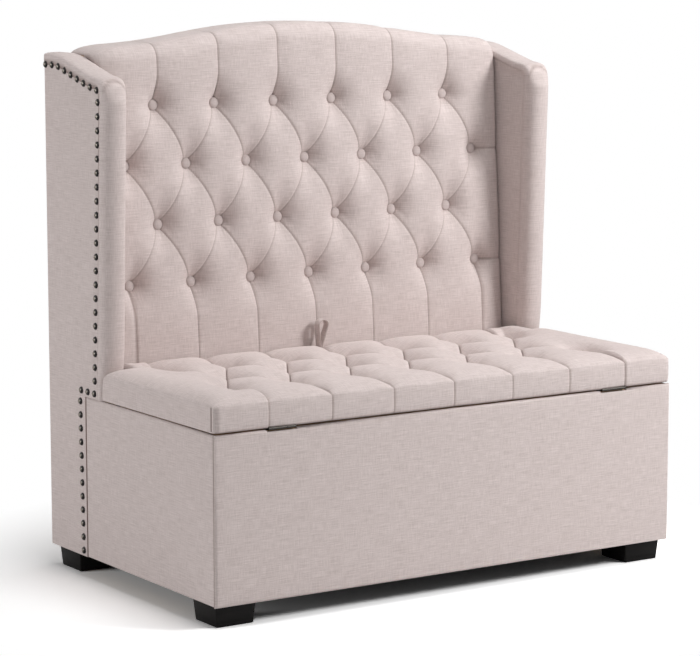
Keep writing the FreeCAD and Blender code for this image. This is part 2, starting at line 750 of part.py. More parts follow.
def back_loop(across, inset):
    """The cushion's cross-section at a place across the back."""
    pitch, row_pitch = value("back_tuft_pitch"), value("back_row_pitch")
    half_pit = value("button_radius + button_gap")
    top_row, low_row = value("tuft_top_z"), value("tuft_low_z")
    low = value("lid_under + fit_gap")
    crest_z = crest(across) - inset
    plump = value("back_plump") - inset
    channel_share, rise_share = value("back_pleat_share"), 0.6
    seat_y = value("lid_rear_y + 2 * fit_gap")

    def front(height):
        held = at_stitch(min(max(height, low_row), top_row) - low_row, row_pitch, half_pit)
        middle = at_stitch(across, pitch / 2, half_pit)
        stand = puff(middle / pitch, held / row_pitch / 2, channel_share)
        past = min(max(low_row - half_pit - height, height - top_row - half_pit, 0) / row_pitch * 2, 1)
        stand = max(stand, rise_share * past + (1 - rise_share) * past * stand)
        return Vector(across, max(tuft_plane(height) - plump * stand, seat_y), height)

    rows = [low_row + number * row_pitch for number in range(4)]
    fall_share = 0.6
    levels = [low, low + row_pitch / 4, low_row - row_pitch * fall_share]
    for row in rows:
        levels += [row - half_pit, row + half_pit, row + row_pitch / 2]
    loop = [front(height) for height in levels]
    face = front(levels[-1])
    face_y = face.y
    curve = value("crest_round")
    roll_low = min(crest_z - curve, value("top_rail_z") + row_pitch / 3)
    turn_shares = (0, 0.25, 0.5, 0.75, 1)
    for turn_share in turn_shares:
        turn = turn_share * math.pi / 2
        loop.append(Vector(across, face_y + curve * (1 - math.cos(turn)),
                           crest_z - curve + curve * math.sin(turn)))
    rear_y = value("rear") - inset / 4
    edge = value("cover_round") * 2
    loop.append(Vector(across, rear_y - edge, crest_z - inset / 4))
    loop.append(Vector(across, rear_y, crest_z - edge))
    flap_z = crest(across) - value("crest_flap")
    rail_z = crest(across) - value("crest_pad")
    rail_rear, rail_front = value("rib_rear"), value("top_rail_y - fit_gap - back_board_thick")
    board_front = value("board_lean")
    lean = value("back_lean")
    loop += [
        Vector(across, rear_y, flap_z), Vector(across, rail_rear, flap_z),
        Vector(across, rail_rear, rail_z), Vector(across, rail_front, rail_z),
        Vector(across, board_front + lean * low, low),
    ]
    return loop


def tuft_stations(pitch, half_pit, last):
    """Places across a cushion: both sides of each stitch, and between them."""
    places = []
    for number in range(-last, last + 1):
        middle = number * pitch / 2
        places += [middle - half_pit, middle + half_pit]
        if number < last:
            places.append(middle + pitch / 4)
    return places


def back_cushion_shape():
    edge = value("pad_inner_x - fit_gap")
    pitch = value("back_tuft_pitch")
    inner = tuft_stations(pitch, value("button_radius + button_gap"), 6)
    soft = value("crest_round")
    end_shares = ((0.6, 0), (0.2, 0.08), (0, 0.25))
    ends = [(edge - soft * back_share, soft * inset_share) for back_share, inset_share in end_shares]
    stations = [(-place, inset) for place, inset in reversed(ends)]
    stations += [(place, 0) for place in inner]
    stations += ends
    return soft_solid([back_loop(place, inset) for place, inset in stations], Vector(0, 1, 0))


parts.append(shaped("back_cushion", back_cushion_shape()))


# Covered buttons in rows of six and seven, each a many-sided dome.
def dome(radius, high, sides, rings):
    """A faceted dome on z = 0, through rings given as shares of its radius and height."""
    loops = []
    for wide_share, high_share in rings:
        loops.append([
            Vector(radius * wide_share * math.cos(2 * math.pi * number / sides),
                   radius * wide_share * math.sin(2 * math.pi * number / sides),
                   high * high_share)
            for number in range(sides)
        ])
    return soft_solid(loops, Vector(0, 0, 1))


def button_places():
    pitch, row_pitch = value("back_tuft_pitch"), value("back_row_pitch")
    for row in range(4):
        height = value("tuft_top_z") - row * row_pitch
        count = 6 + row % 2
        for number in range(count):
            yield Vector((number - (count - 1) / 2) * pitch, tuft_plane(height), height)


button_shares = [(1, 0), (1, 0.35), (0.5, 1)]
button = dome(value("button_radius"), value("button_high"), 8, button_shares)
lean_angle = math.degrees(math.atan(value("back_lean")))
buttons = []
for place in button_places():
    copy = button.copy()
    seat = place - Vector(0, value("fit_gap"), 0)
    copy.Placement = FreeCAD.Placement(seat, Rotation(Vector(1, 0, 0), 90 - lean_angle))
    buttons.append(copy)
parts.append(shaped("back_buttons", Part.makeCompound(buttons)))


# Nailheads: evenly spaced along each outer side, in from the skin's edges.
def nail_places():
    stops = [
        ("rear - nail_radius", "wing_top - nail_edge"),
        ("wing_slope_rear_y", "wing_top - nail_edge"),
        ("wing_slope_front_y", "wing_slope_z - nail_edge"),
        ("wing_tip_y + nail_front_edge", "wing_tip_z - nail_edge"),
        ("wing_foot_y + nail_low_edge", "box_top + nail_edge"),
        ("split_y + nail_low_edge", "box_top + nail_edge"),
        ("split_y + nail_edge", "cover_bottom + nail_edge"),
    ]
    path = [Vector(value("half"), value(across), value(up)) for across, up in stops]
    wire = Part.makePolygon(path)
    count = round(wire.Length / value("nail_pitch")) + 1
    return wire.discretize(Number=count)


nail_shares = [(1, 0), (0.5, 1)]
nail = dome(value("nail_radius"), value("nail_high"), 6, nail_shares)
nails = []
for place in nail_places():
    copy = nail.copy()
    copy.Placement = FreeCAD.Placement(place, Rotation(Vector(0, 1, 0), 90))
    nails.append(copy)
parts += both_sides("nailheads", shaped("nailheads_right", Part.makeCompound(nails)))


# Lid: a board with a tongue that runs back between the wings, its padded
# cushion with sewn pulls, and a cloth lining underneath.
def tongue_outline(edge):
    """The lid's outline, narrower between the wings, drawn in by an edge."""
    wide, slim = f"half - {edge}", f"lid_tongue_half - {edge}"
    ahead, shoulder, back = f"front + {edge}", f"lid_shoulder_y - {edge}", f"lid_rear_y - {edge}"
    right = [(wide, ahead), (wide, shoulder), (slim, shoulder), (slim, back)]
    return right + [(f"-({across})", place) for across, place in reversed(right)]


parts.append(plate("lid_board", "XY_Plane", tongue_outline("cover_thick"), "lid_board_z", "lid_board_top"))
parts.append(box(
    "lid_lining", ("-lid_tongue_half + lining_inset", "lid_tongue_half - lining_inset"),
    ("inner_front + fit_gap", "lid_rear_y - lining_inset"), ("lid_under", "lid_board_z")))


def seat_top(across, place):
    """Height of the lid cushion's upper surface."""
    reach = value("lid_round")
    half, tongue = value("half"), value("lid_tongue_half")
    shoulder = value("lid_shoulder_y")
    to_notch = math.hypot(max(tongue - abs(across), 0), max(shoulder - place, 0))
    share = 1
    for distance in (place - value("front"), value("lid_rear_y") - place, half - abs(across), to_notch):
        near_share = 1 - min(max(distance, 0) / reach, 1)
        share *= math.sqrt(1 - near_share ** 2)
    pitch, row_pitch = value("seat_tuft_pitch"), value("seat_row_pitch")
    front_row = value("seat_front_row_y")
    half_pit = value("seat_tuft_half")
    inside = min(max(place - front_row, 0), 2 * row_pitch)
    held = at_stitch(inside, row_pitch, half_pit)
    middle = at_stitch(across, pitch / 2, half_pit)
    stand = puff(middle / pitch, held / row_pitch / 2, value("seat_pleat_share"))
    edge_share, past_share, side_share = 0.8, 0.6, 0.35
    past = min(abs(place - front_row - inside) / (past_share * row_pitch), 1)
    outside = min(max(abs(across) - 3 * pitch, 0) / (side_share * pitch), 1)
    stand = max(stand, edge_share * past, outside)
    return value("lid_edge") + value("lid_crown") * share - value("seat_tuft_deep") * (1 - stand) * share


def seat_loop(across, inset):
    """The lid cushion's cross-section at a place across the seat."""
    half_pit = value("seat_tuft_half")
    row_pitch, front_row = value("seat_row_pitch"), value("seat_front_row_y")
    front, rear, reach = value("front"), value("lid_rear_y"), value("lid_round")
    pleat_wide_share = 0.2
    on_pleat = abs(math.sin(math.pi * across / value("seat_tuft_pitch"))) < pleat_wide_share
    pleat = value("seat_pleat_deep") if on_pleat and abs(across) < value("lid_tongue_half") else 0
    front_shares, rear_shares = (0.03, 0.16, 0.4, 0.8, 1.3), (0.5, 0.16)
    places = [front + pleat + reach * share for share in front_shares]
    for number in range(3):
        row = front_row + number * row_pitch
        places += [row - half_pit, row + half_pit]
        if number < 2:
            places.append(row + row_pitch / 2)
    places += [value("lid_shoulder_y")] + [rear - reach * share for share in rear_shares]
    low, edge_z = value("lid_under"), value("lid_edge")
    loop = [
        Vector(across, front + pleat + inset + value("seat_pleat_deep") / 2, low + inset),
        Vector(across, front + pleat + inset, low + (edge_z - low) / 2),
        Vector(across, front + pleat + inset, edge_z - (edge_z - low) / 6),
    ]
    for place in places:
        inward = max(inset - (place - front), 0)
        loop.append(Vector(across, place + inward, seat_top(across, place) - inset / 2))
    loop += [
        Vector(across, rear - inset, edge_z - inset), Vector(across, rear - inset, low + inset),
    ]
    return loop


def lid_cushion_shape():
    half, tongue, thick = value("half"), value("lid_tongue_half"), value("cover_thick")
    inner = tuft_stations(value("seat_tuft_pitch"), value("seat_tuft_half"), 6)
    shoulder_shares = (-0.3, 0, 0.4)
    ends = [(tongue + (half - tongue) * share, 0) for share in shoulder_shares]
    ends += [(half - thick, 0), (half, thick / 3)]
    stations = [(-place, inset) for place, inset in reversed(ends)]
    stations += [(place, 0) for place in inner]
    stations += ends
    return soft_solid([seat_loop(place, inset) for place, inset in stations], Vector(0, 0, -1))


lid_plain = shaped("lid_cushion_plain", lid_cushion_shape())
board_space = plate("board_space", "XY_Plane", tongue_outline("cover_thick"),
                    "lid_under - cut_overrun", "lid_board_top")
wing_spaces = both_sides("wing_space", box(
    "wing_space_right", ("lid_tongue_half", "half + cut_overrun"),
    ("lid_shoulder_y", "lid_rear_y + cut_overrun"), ("lid_under - cut_overrun", "lid_edge + 2 * lid_crown")))
neck_half = "(loop_strap + fit_gap)"
neck_space = box("neck_space", (f"-{neck_half}", neck_half), ("loop_y - fit_gap", "loop_y + loop_wide + fit_gap"),
                 ("lid_board_top", "lid_edge + 2 * lid_crown"))
notches = hinge_notches("lid_notch", "lid_under - cut_overrun", "lid_under + hinge_notch_high")
parts.append(cut("lid_cushion", lid_plain, [board_space, neck_space] + wing_spaces + notches))


# Pull loop: a folded strap sewn down at its neck, open above.
def pull_loop_shape():
    strap, radius = value("loop_strap"), value("loop_radius")
    foot, neck = value("lid_board_top"), value("lid_board_top + loop_neck_high")
    front_y, lean = value("loop_y"), value("loop_lean")
    centre = Vector(lean, front_y, neck + value("loop_rise"))

    def ring(half_neck, bend):
        """A teardrop about the centre, from the neck up and over."""
        left, right = Vector(-half_neck, front_y, neck), Vector(half_neck, front_y, neck)
        side = Vector(bend, 0, 0)
        top = Part.Arc(centre - side, centre + Vector(0, 0, bend), centre + side).toShape()
        return left, right, side, top

    left, right, side, top = ring(strap, radius)
    foot_left, foot_right = Vector(-strap, front_y, foot), Vector(strap, front_y, foot)
    outer = Part.Wire([
        Part.makeLine(foot_left, left), Part.makeLine(left, centre - side), top,
        Part.makeLine(centre + side, right), Part.makeLine(right, foot_right),
        Part.makeLine(foot_right, foot_left),
    ])
    point = Vector(0, front_y, neck + strap)
    side = Vector(radius - strap, 0, 0)
    top = Part.Arc(centre - side, centre + Vector(0, 0, radius - strap), centre + side).toShape()
    inner = Part.Wire([Part.makeLine(point, centre - side), top, Part.makeLine(centre + side, point)])
    depth = Vector(0, value("loop_wide"), 0)
    return Part.Face(outer).extrude(depth).cut(Part.Face(inner).extrude(depth))


parts.append(shaped("pull_loop", pull_loop_shape()))

# Rest pads between the box sides and the lid.
pad_x = "board_half - side_board_thick / 2"
pads = []
for number, place in enumerate(("rest_pad_front_y", "rest_pad_rear_y")):
    pads += both_sides(f"rest_pad_{number}", box(
        f"rest_pad_{number}_right", (f"{pad_x} - rest_pad_half", f"{pad_x} + rest_pad_half"),
        (f"{place} - rest_pad_half", f"{place} + rest_pad_half"), ("board_top", "lid_board_z - fit_gap")))
parts.append(group("rest_pads", pads))


# Butt hinges: three knuckles on a pin, two on the box leaf and one on the lid leaf.
def hinge_leaf(label, numbers, low, bore):
    """One leaf with its knuckles, bored for the pin."""
    start_x = "hinge_x - hinge_long / 2"
    high = f"{low} + hinge_leaf_thick"
    pieces = [box(f"{label}_leaf", (start_x, "hinge_x + hinge_long / 2"),
                  ("leaf_start_y", "hinge_y + hinge_barrel_radius + hinge_deep"), (low, high))]
    for number in numbers:
        begin = f"{start_x} + {number} * (knuckle_long + hinge_knuckle_gap)"
        end = f"{begin} + knuckle_long"
        pieces.append(rod(f"{label}_knuckle_{number}", "x", ("hinge_y", "hinge_z"),
                          "hinge_barrel_radius", begin, end))
        pieces.append(box(f"{label}_tongue_{number}", (begin, end), ("hinge_y", "leaf_start_y"), (low, high)))
    hole = rod(f"{label}_bore", "x", ("hinge_y", "hinge_z"), bore,
               f"{start_x} - cut_overrun", "hinge_x + hinge_long / 2 + cut_overrun")
    return cut(label, joined(f"{label}_whole", pieces), [hole])


parts += both_sides("hinge_box_leaf", hinge_leaf(
    "hinge_box_leaf_right", (0, 2), "leaf_low_z", "hinge_pin_radius"))
parts += both_sides("hinge_lid_leaf", hinge_leaf(
    "hinge_lid_leaf_right", (1,), "hinge_z + hinge_leaf_off", "hinge_pin_radius + hinge_run_gap"))
parts += both_sides("hinge_pin", rod(
    "hinge_pin_right", "x", ("hinge_y", "hinge_z"), "hinge_pin_radius",
    "hinge_x - hinge_long / 2", "hinge_x + hinge_long / 2"))

# Strut brackets: a plate in the box and an angle under the lid, each with a stud.
eye_inner = "strut_x - eye_thick / 2"


def stud(label, centre, from_x):
    """A stud with a six-sided head that keeps the strut's eye on it."""
    shank = rod(f"{label}_stud", "x", centre, "stud_radius", f"{eye_inner} - bracket_thick / 4", from_x)
    head = plate(f"{label}_head", "YZ_Plane", hexagon(*centre, "stud_head_radius"),
                 f"{eye_inner} - bracket_thick / 4 - stud_head_thick", f"{eye_inner} - bracket_thick / 4")
    return [shank, head]


box_arm = ("box_arm_y", "box_arm_z")
lid_arm = ("lid_arm_y", "lid_arm_z")
box_plate = box("box_bracket_plate", ("inner_half - bracket_thick", "inner_half"),
                ("box_arm_y - bracket_wide / 2", "box_arm_y + bracket_wide / 2"),
                ("box_arm_z - bracket_high / 2", "box_arm_z + bracket_high / 2"))
parts += both_sides("strut_box_bracket", joined(
    "strut_box_bracket_right", [box_plate] + stud("box_bracket", box_arm, "inner_half")))
lid_span = ("lid_arm_y - bracket_wide / 2", "lid_arm_y + bracket_wide / 2")
lid_leg = box("lid_bracket_leg", ("leg_x - bracket_thick", "leg_x"), lid_span,
              ("lid_arm_z - eye_radius", "lid_board_z"))
lid_foot = box("lid_bracket_foot", ("leg_x - bracket_wide", "leg_x"), lid_span,
               ("lid_board_z - bracket_thick", "lid_board_z"))
parts += both_sides("strut_lid_bracket", joined(
    "strut_lid_bracket_right", [lid_leg, lid_foot] + stud("lid_bracket", lid_arm, "leg_x")))


# Gas struts: a closed tube on the box and a piston rod on the lid. Each is
# turned about its own eye, with its length along the strut.
def strut_part(label, profile, centre):
    """A turned part with an eye at its origin."""
    body = doc.addObject("PartDesign::Body", f"{label}_body")
    turned = body.newObject("PartDesign::Revolution", f"{label}_turned")
    turned.Profile = outline(body, "XZ_Plane", f"{label}_profile", profile)
    axis = next(item for item in body.Origin.OriginFeatures if item.Role == "Z_Axis")
    turned.ReferenceAxis = (axis, [""])
    doc.recompute()
    pad(body, circle(body, "YZ_Plane", f"{label}_eye", "eye_radius"), "eye_thick", "Symmetric")
    hole = body.newObject("PartDesign::Pocket", f"{label}_hole")
    hole.Profile = circle(body, "YZ_Plane", f"{label}_eye_hole", "stud_radius + stud_run_gap")
    hole.Type = "ThroughAll"
    hole.SideType = "Symmetric"
    body.setExpression("Placement.Rotation.Angle", bound("-strut_tilt"))
    body.Placement.Rotation.Axis = Vector(1, 0, 0)
    for name, place in zip("xyz", ("strut_x",) + centre):
        body.setExpression(f"Placement.Base.{name}", bound(place))
    return body


tube_end = "(strut_shut - strut_rod_bare)"
tube_profile = [
    (0, "eye_radius / 2"), ("stud_radius", "eye_radius / 2"), ("stud_radius", "strut_tube_start"),
    ("strut_tube_radius", "strut_tube_start"), ("strut_tube_radius", tube_end),
    ("strut_rod_radius + strut_run_gap", tube_end),
    ("strut_rod_radius + strut_run_gap", f"{tube_end} - strut_wall"),
    ("strut_bore_radius", f"{tube_end} - strut_wall"),
    ("strut_bore_radius", "strut_tube_start + strut_wall"), (0, "strut_tube_start + strut_wall"),
]
rod_profile = [
    (0, "-eye_radius / 2"), ("stud_radius", "-eye_radius / 2"),
    ("stud_radius", "-eye_radius - stud_radius"), ("strut_rod_radius", "-eye_radius - stud_radius"),
    ("strut_rod_radius", "-strut_rod_long + strut_wall"),
    ("strut_piston_radius", "-strut_rod_long + strut_wall"),
    ("strut_piston_radius", "-strut_rod_long"), (0, "-strut_rod_long"),
]


def texts(points):
    return [(str(across), str(up)) for across, up in points]


parts += both_sides("strut_tube", strut_part("strut_tube", texts(tube_profile), box_arm))
parts += both_sides("strut_rod", strut_part("strut_rod", texts(rod_profile), lid_arm))

doc.recompute()

for item in doc.Objects:
    if {"Invalid", "Error"} & set(item.State):
        raise RuntimeError(f"{item.Name} failed: {item.State}")
for piece in parts:
    if piece.Shape.isNull() or not piece.Shape.isValid() or not piece.Shape.Solids:
        raise RuntimeError(f"{piece.Label} has no valid solid")

os.makedirs("parts", exist_ok=True)
for piece in parts:
    piece.Shape.exportStep(f"parts/{piece.Label}.step")
    print(piece.Label, len(piece.Shape.Solids), round(piece.Shape.Volume / 1000, 1))
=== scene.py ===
import math

import bmesh
import bpy
from mathutils import Matrix, Vector, noise


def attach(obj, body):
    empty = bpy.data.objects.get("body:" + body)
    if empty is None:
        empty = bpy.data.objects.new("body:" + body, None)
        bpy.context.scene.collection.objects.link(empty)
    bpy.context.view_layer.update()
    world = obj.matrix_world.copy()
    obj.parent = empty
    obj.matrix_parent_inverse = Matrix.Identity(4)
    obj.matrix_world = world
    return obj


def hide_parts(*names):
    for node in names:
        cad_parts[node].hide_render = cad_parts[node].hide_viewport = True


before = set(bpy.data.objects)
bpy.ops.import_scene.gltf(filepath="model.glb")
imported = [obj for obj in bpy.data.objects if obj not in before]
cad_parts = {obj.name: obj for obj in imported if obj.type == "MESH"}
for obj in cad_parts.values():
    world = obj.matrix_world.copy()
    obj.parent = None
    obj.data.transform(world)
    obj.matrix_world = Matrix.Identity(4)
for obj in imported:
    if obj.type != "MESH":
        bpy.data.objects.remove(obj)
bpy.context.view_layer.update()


# Storage box and back frame: plain pine boards, blocks and rails, glued and
# screwed together. They show only where the box stands open, and the frame of
# the wings and back stays hidden under the upholstery.
def colour(red, green, blue):
    """A colour given in 0 to 255 steps, as a shader reads it."""
    shares = (red / 255, green / 255, blue / 255)
    return tuple(s / 12.92 if s <= 0.04045 else ((s + 0.055) / 1.055) ** 2.4 for s in shares) + (1,)


def new_finish(name):
    """A material with its node tree and its surface shader."""
    finish = bpy.data.materials.new(name)
    finish.use_nodes = True
    return finish, finish.node_tree, finish.node_tree.nodes["Principled BSDF"]


def new_effect(name, takes, gives):
    """A node group with named sockets, each given as a title and a kind."""
    group = bpy.data.node_groups.new(name, "ShaderNodeTree")
    for way, sockets in (("INPUT", takes), ("OUTPUT", gives)):
        for title, kind in sockets:
            group.interface.new_socket(name=title, in_out=way, socket_type=f"NodeSocket{kind}")
    return group, group.nodes.new("NodeGroupInput"), group.nodes.new("NodeGroupOutput")


def add_node(tree, kind, settings=None, **values):
    """A node with its settings, and with sockets set by their names."""
    node = tree.nodes.new(f"ShaderNode{kind}")
    for name, setting in (settings or {}).items():
        setattr(node, name, setting)
    for title, amount in values.items():
        node.inputs[title.replace("_", " ")].default_value = amount
    return node


def stretched_noise(tree, place, scale, detail, rough=0.5):
    """Noise on a place, stretched by its scale along each axis."""
    mapping = add_node(tree, "Mapping", Scale=scale)
    tree.links.new(place, mapping.inputs["Vector"])
    pattern = add_node(tree, "TexNoise", Scale=1, Detail=detail, Roughness=rough)
    tree.links.new(mapping.outputs["Vector"], pattern.inputs["Vector"])
    return pattern.outputs["Fac"]


def blended(tree, amount, first, second, way="MIX"):
    """A mix of two colours, each a colour or the output of a node."""
    mix = add_node(tree, "Mix", {"data_type": "RGBA", "blend_type": way})
    for socket, source in ((0, amount), (6, first), (7, second)):
        if isinstance(source, bpy.types.NodeSocket):
            tree.links.new(source, mix.inputs[socket])
        else:
            mix.inputs[socket].default_value = source
    return mix.outputs[2]


def computed(tree, work, first, second=0.5, third=0.5):
    """A value worked out from others, each a number or the output of a node."""
    node = add_node(tree, "Math", {"operation": work})
    for socket, source in zip(node.inputs, (first, second, third)):
        if isinstance(source, bpy.types.NodeSocket):
            tree.links.new(source, socket)
        else:
            socket.default_value = source
    return node.outputs[0]


def add_bump(tree, shader, height, distance, strength=1.0):
    """A bump from a height in metres' share, fed to the shader's normal."""
    bump = add_node(tree, "Bump", Strength=strength, Distance=distance)
    tree.links.new(height, bump.inputs["Height"])
    tree.links.new(bump.outputs["Normal"], shader.inputs["Normal"])


board_grain, grain_in, grain_out = new_effect(
    "board_grain", [("Early wood", "Color"), ("Late wood", "Color")],
    [("Color", "Color"), ("Height", "Float")])
grain_place = add_node(board_grain, "TexCoord").outputs["Object"]
grain_long = stretched_noise(board_grain, grain_place, (2.5, 60, 45), 4)
grain_fine = stretched_noise(board_grain, grain_place, (14, 600, 600), 2)
grain_mix = computed(board_grain, "MULTIPLY_ADD", grain_fine, 0.35, grain_long)
grain_sharp = add_node(board_grain, "ValToRGB")
grain_sharp.color_ramp.elements[0].position = 0.45
grain_sharp.color_ramp.elements[1].position = 0.85
board_grain.links.new(grain_mix, grain_sharp.inputs[0])
board_grain.links.new(
    blended(board_grain, grain_sharp.outputs[0], grain_in.outputs[0], grain_in.outputs[1]),
    grain_out.inputs[0])
board_grain.links.new(grain_mix, grain_out.inputs[1])

pine, pine_tree, pine_shader = new_finish("bare_pine")
pine_grain = add_node(pine_tree, "Group", {"node_tree": board_grain})
pine_grain.inputs[0].default_value = colour(222, 193, 152)
pine_grain.inputs[1].default_value = colour(190, 150, 104)
pine_tree.links.new(pine_grain.outputs[0], pine_shader.inputs["Base Color"])
pine_shader.inputs["Roughness"].default_value = 0.68
add_bump(pine_tree, pine_shader, pine_grain.outputs[1], 0.0004, 0.6)

BOARDS = (
    "front_board", "side_board_left", "side_board_right", "rear_board", "floor_board",
    "floor_battens", "corner_blocks", "wing_frame_left", "wing_frame_right", "back_rib_left",
    "back_rib_right", "back_rib_middle", "upper_rail", "lower_rail", "back_board", "top_rail",
    "lid_board",
)


def finish_node(node, finish):
    """Gives every face of a CAD node one finish."""
    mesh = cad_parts[node].data
    mesh.materials.clear()
    mesh.materials.append(finish)


for board in BOARDS:
    finish_node(board, pine)

# Bolts: zinc plated steel. Four stand in the feet and the blocks above them,
# and four join the back's rail to the box. The heads of the latter show on
# the box's rear board when the lid is up.
def clouded_finish(name, scale, detail, dark, pale, rough, rougher=0.0, metallic=0.0, bump=None):
    """A finish that varies with a stretched noise in colour, roughness and height."""
    finish, tree, shader = new_finish(name)
    cloud = stretched_noise(tree, add_node(tree, "TexCoord").outputs["Object"], scale, detail)
    tree.links.new(blended(tree, cloud, colour(*dark), colour(*pale)), shader.inputs["Base Color"])
    shader.inputs["Metallic"].default_value = metallic
    shader.inputs["Roughness"].default_value = rough
    if rougher:
        tree.links.new(computed(tree, "MULTIPLY_ADD", cloud, rougher, rough), shader.inputs["Roughness"])
    if bump:
        add_bump(tree, shader, cloud, *bump)
    return finish


zinc = clouded_finish("zinc_plate", (120, 120, 120), 3, (150, 150, 148), (196, 196, 192), 0.2, 0.3,
                      metallic=1)
for bolt in ("foot_bolts", "frame_bolts"):
    finish_node(bolt, zinc)

# Dust cloth: black non-woven cloth, stapled under the box and the back. It
# is a flat web, a millimetre thick, with holes for the foot bolts.
felt = clouded_finish("black_felt", (900, 700, 800), 3, (20, 20, 21), (48, 47, 47), 0.95, bump=(0.0004,))
finish_node("dust_cloth", felt)

# Feet: four hardwood blocks, stained black and lacquered, a little narrower
# at the floor, with soft arrises. Each is bolted up into a corner block.
FOOT_SIDE, FOOT_HIGH, FOOT_TAPER, FOOT_ARRIS = 0.091, 0.045, 0.004, 0.0028
FOOT_PLACES = {"front_left": (-0.5045, -0.2815), "front_right": (0.5045, -0.2815),
               "rear_left": (-0.5045, 0.2815), "rear_right": (0.5045, 0.2815)}

stain = clouded_finish("black_stain", (14, 160, 160), 4, (12, 11, 11), (27, 25, 24), 0.28, 0.2,
                       bump=(0.0003, 0.5))
stain_shader = stain.node_tree.nodes["Principled BSDF"]
stain_shader.inputs["Specular IOR Level"].default_value = 0.12
stain_shader.inputs["Coat Weight"].default_value = 0.02
stain_shader.inputs["Coat Roughness"].default_value = 0.3


def add_block(shape, low, high):
    """Adds a block between two corners to a shape, and gives its corners."""
    corners = bmesh.ops.create_cube(shape, size=1)["verts"]
    bmesh.ops.scale(shape, vec=[b - a for a, b in zip(low, high)], verts=corners)
    bmesh.ops.translate(shape, vec=[(a + b) / 2 for a, b in zip(low, high)], verts=corners)
    return corners


def as_mesh(name, shape):
    """A shape as a mesh, with the shape itself freed."""
    mesh = bpy.data.meshes.new(name)
    shape.to_mesh(mesh)
    shape.free()
    return mesh


def placed(name, data):
    """An object in the scene for a mesh, a lamp or the camera."""
    thing = bpy.data.objects.new(name, data)
    bpy.context.scene.collection.objects.link(thing)
    return thing


def add_piece(name, shape, finish, body, replaced):
    """A finished mesh as an object that rides on a body in place of a CAD node.

    Faces with more than four sides are flat ends and panels.
    """
    for face in shape.faces:
        face.smooth = len(face.verts) < 5
    piece = placed(name, as_mesh(name, shape))
    piece.data.materials.append(finish)
    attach(piece, body)
    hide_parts(replaced)
    return piece


for end, (foot_x, foot_y) in FOOT_PLACES.items():
    foot = bmesh.new()
    add_block(foot, (-FOOT_SIDE / 2, -FOOT_SIDE / 2, 0), (FOOT_SIDE / 2, FOOT_SIDE / 2, FOOT_HIGH))
    slim = 1 - 2 * FOOT_TAPER / FOOT_SIDE
    low_corners = [v for v in foot.verts if v.co.z < FOOT_HIGH / 2]
    bmesh.ops.scale(foot, vec=(slim, slim, 1), verts=low_corners)
    bmesh.ops.bevel(foot, geom=foot.edges[:], offset=FOOT_ARRIS, segments=3, profile=0.5,
                    affect="EDGES", material=-1)
    bmesh.ops.translate(foot, vec=(foot_x, foot_y, 0), verts=foot.verts)
    foot_piece = add_piece(f"black_foot_{end}", foot, stain, "bench", f"foot_{end}")

# Box covers: the same linen over a thin foam on the front and both sides,
# pulled tight, sewn down the front corners, and stapled under the box and
# over its top edge. The front one is notched over each hinge.
HALF, FRONT, REAR = 0.560, -0.345, 0.345
COVER_LOW, BOX_TOP, COVER_THICK, SPLIT_Y = 0.044, 0.382, 0.008, 0.184
HINGE_X, HINGE_LONG, NOTCH_HIGH = 0.408, 0.062, 0.004

linen_weave, weave_in, weave_out = new_effect(
    "linen_weave",
    [("Pale yarn", "Color"), ("Dark yarn", "Color"), ("Slub", "Float"), ("Fold", "Float")],
    [("Color", "Color"), ("Height", "Float")])
weave_place = add_node(linen_weave, "TexCoord").outputs["UV"]
weft = stretched_noise(linen_weave, weave_place, (26, 520, 1), 3, 0.6)
warp = stretched_noise(linen_weave, weave_place, (560, 42, 1), 3, 0.6)
cloud = stretched_noise(linen_weave, weave_place, (9, 14, 1), 3)
weft_share = computed(linen_weave, "MULTIPLY", weft, 1.15)
threads = computed(linen_weave, "MULTIPLY_ADD", warp, 0.85, weft_share)
slubs = computed(linen_weave, "SUBTRACT", threads, 1)
slubs = computed(linen_weave, "MULTIPLY", slubs, weave_in.outputs["Slub"])
slubs = computed(linen_weave, "ADD", slubs, 0.5)
mottle = computed(linen_weave, "MULTIPLY_ADD", cloud, 0.1, -0.05)
shade_share = computed(linen_weave, "ADD", slubs, mottle)
shade_share.node.use_clamp = True
yarn_colour = blended(
    linen_weave, shade_share, weave_in.outputs["Dark yarn"], weave_in.outputs["Pale yarn"])
# Painted shade: where the mesh marks a fold, seam or edge, the yarn's colour is multiplied darker to stand
# for the shade that falls there.
fold_shade_colour = blended(linen_weave, 1.0, yarn_colour, colour(172, 156, 150), "MULTIPLY")
linen_weave.links.new(
    blended(linen_weave, weave_in.outputs["Fold"], yarn_colour, fold_shade_colour), weave_out.inputs["Color"])
yarns = []
for way in ("X", "Y"):
    wave = add_node(linen_weave, "TexWave", {"bands_direction": way}, Scale=330, Distortion=1.5, Detail=1)
    linen_weave.links.new(weave_place, wave.inputs["Vector"])
    yarns.append(wave.outputs["Fac"])
grid_high = computed(linen_weave, "MULTIPLY", *yarns)
weave_high = computed(linen_weave, "MULTIPLY_ADD", grid_high, 0.5, threads)
linen_weave.links.new(weave_high, weave_out.inputs["Height"])


def linen_finish(name, pale, dark, slub, bump):
    """A slub linen, darkened as painted shade where folds and seams are marked on the mesh."""
    finish, tree, shader = new_finish(name)
    weave = add_node(tree, "Group", {"node_tree": linen_weave})
    weave.inputs["Pale yarn"].default_value = pale
    weave.inputs["Dark yarn"].default_value = dark
    weave.inputs["Slub"].default_value = slub
    fold = add_node(tree, "Attribute", {"attribute_name": "fold"})
    tree.links.new(fold.outputs["Fac"], weave.inputs["Fold"])
    tree.links.new(weave.outputs["Color"], shader.inputs["Base Color"])
    shader.inputs["Roughness"].default_value = 0.92
    shader.inputs["Sheen Weight"].default_value = 0.15
    shader.inputs["Sheen Roughness"].default_value = 0.6
    shader.inputs["Specular IOR Level"].default_value = 0.25
    add_bump(tree, shader, weave.outputs["Height"], bump, 0.8)
    return finish


linen = linen_finish("slub_linen", colour(229, 216, 213), colour(194, 179, 175), 1.3, 0.0005)


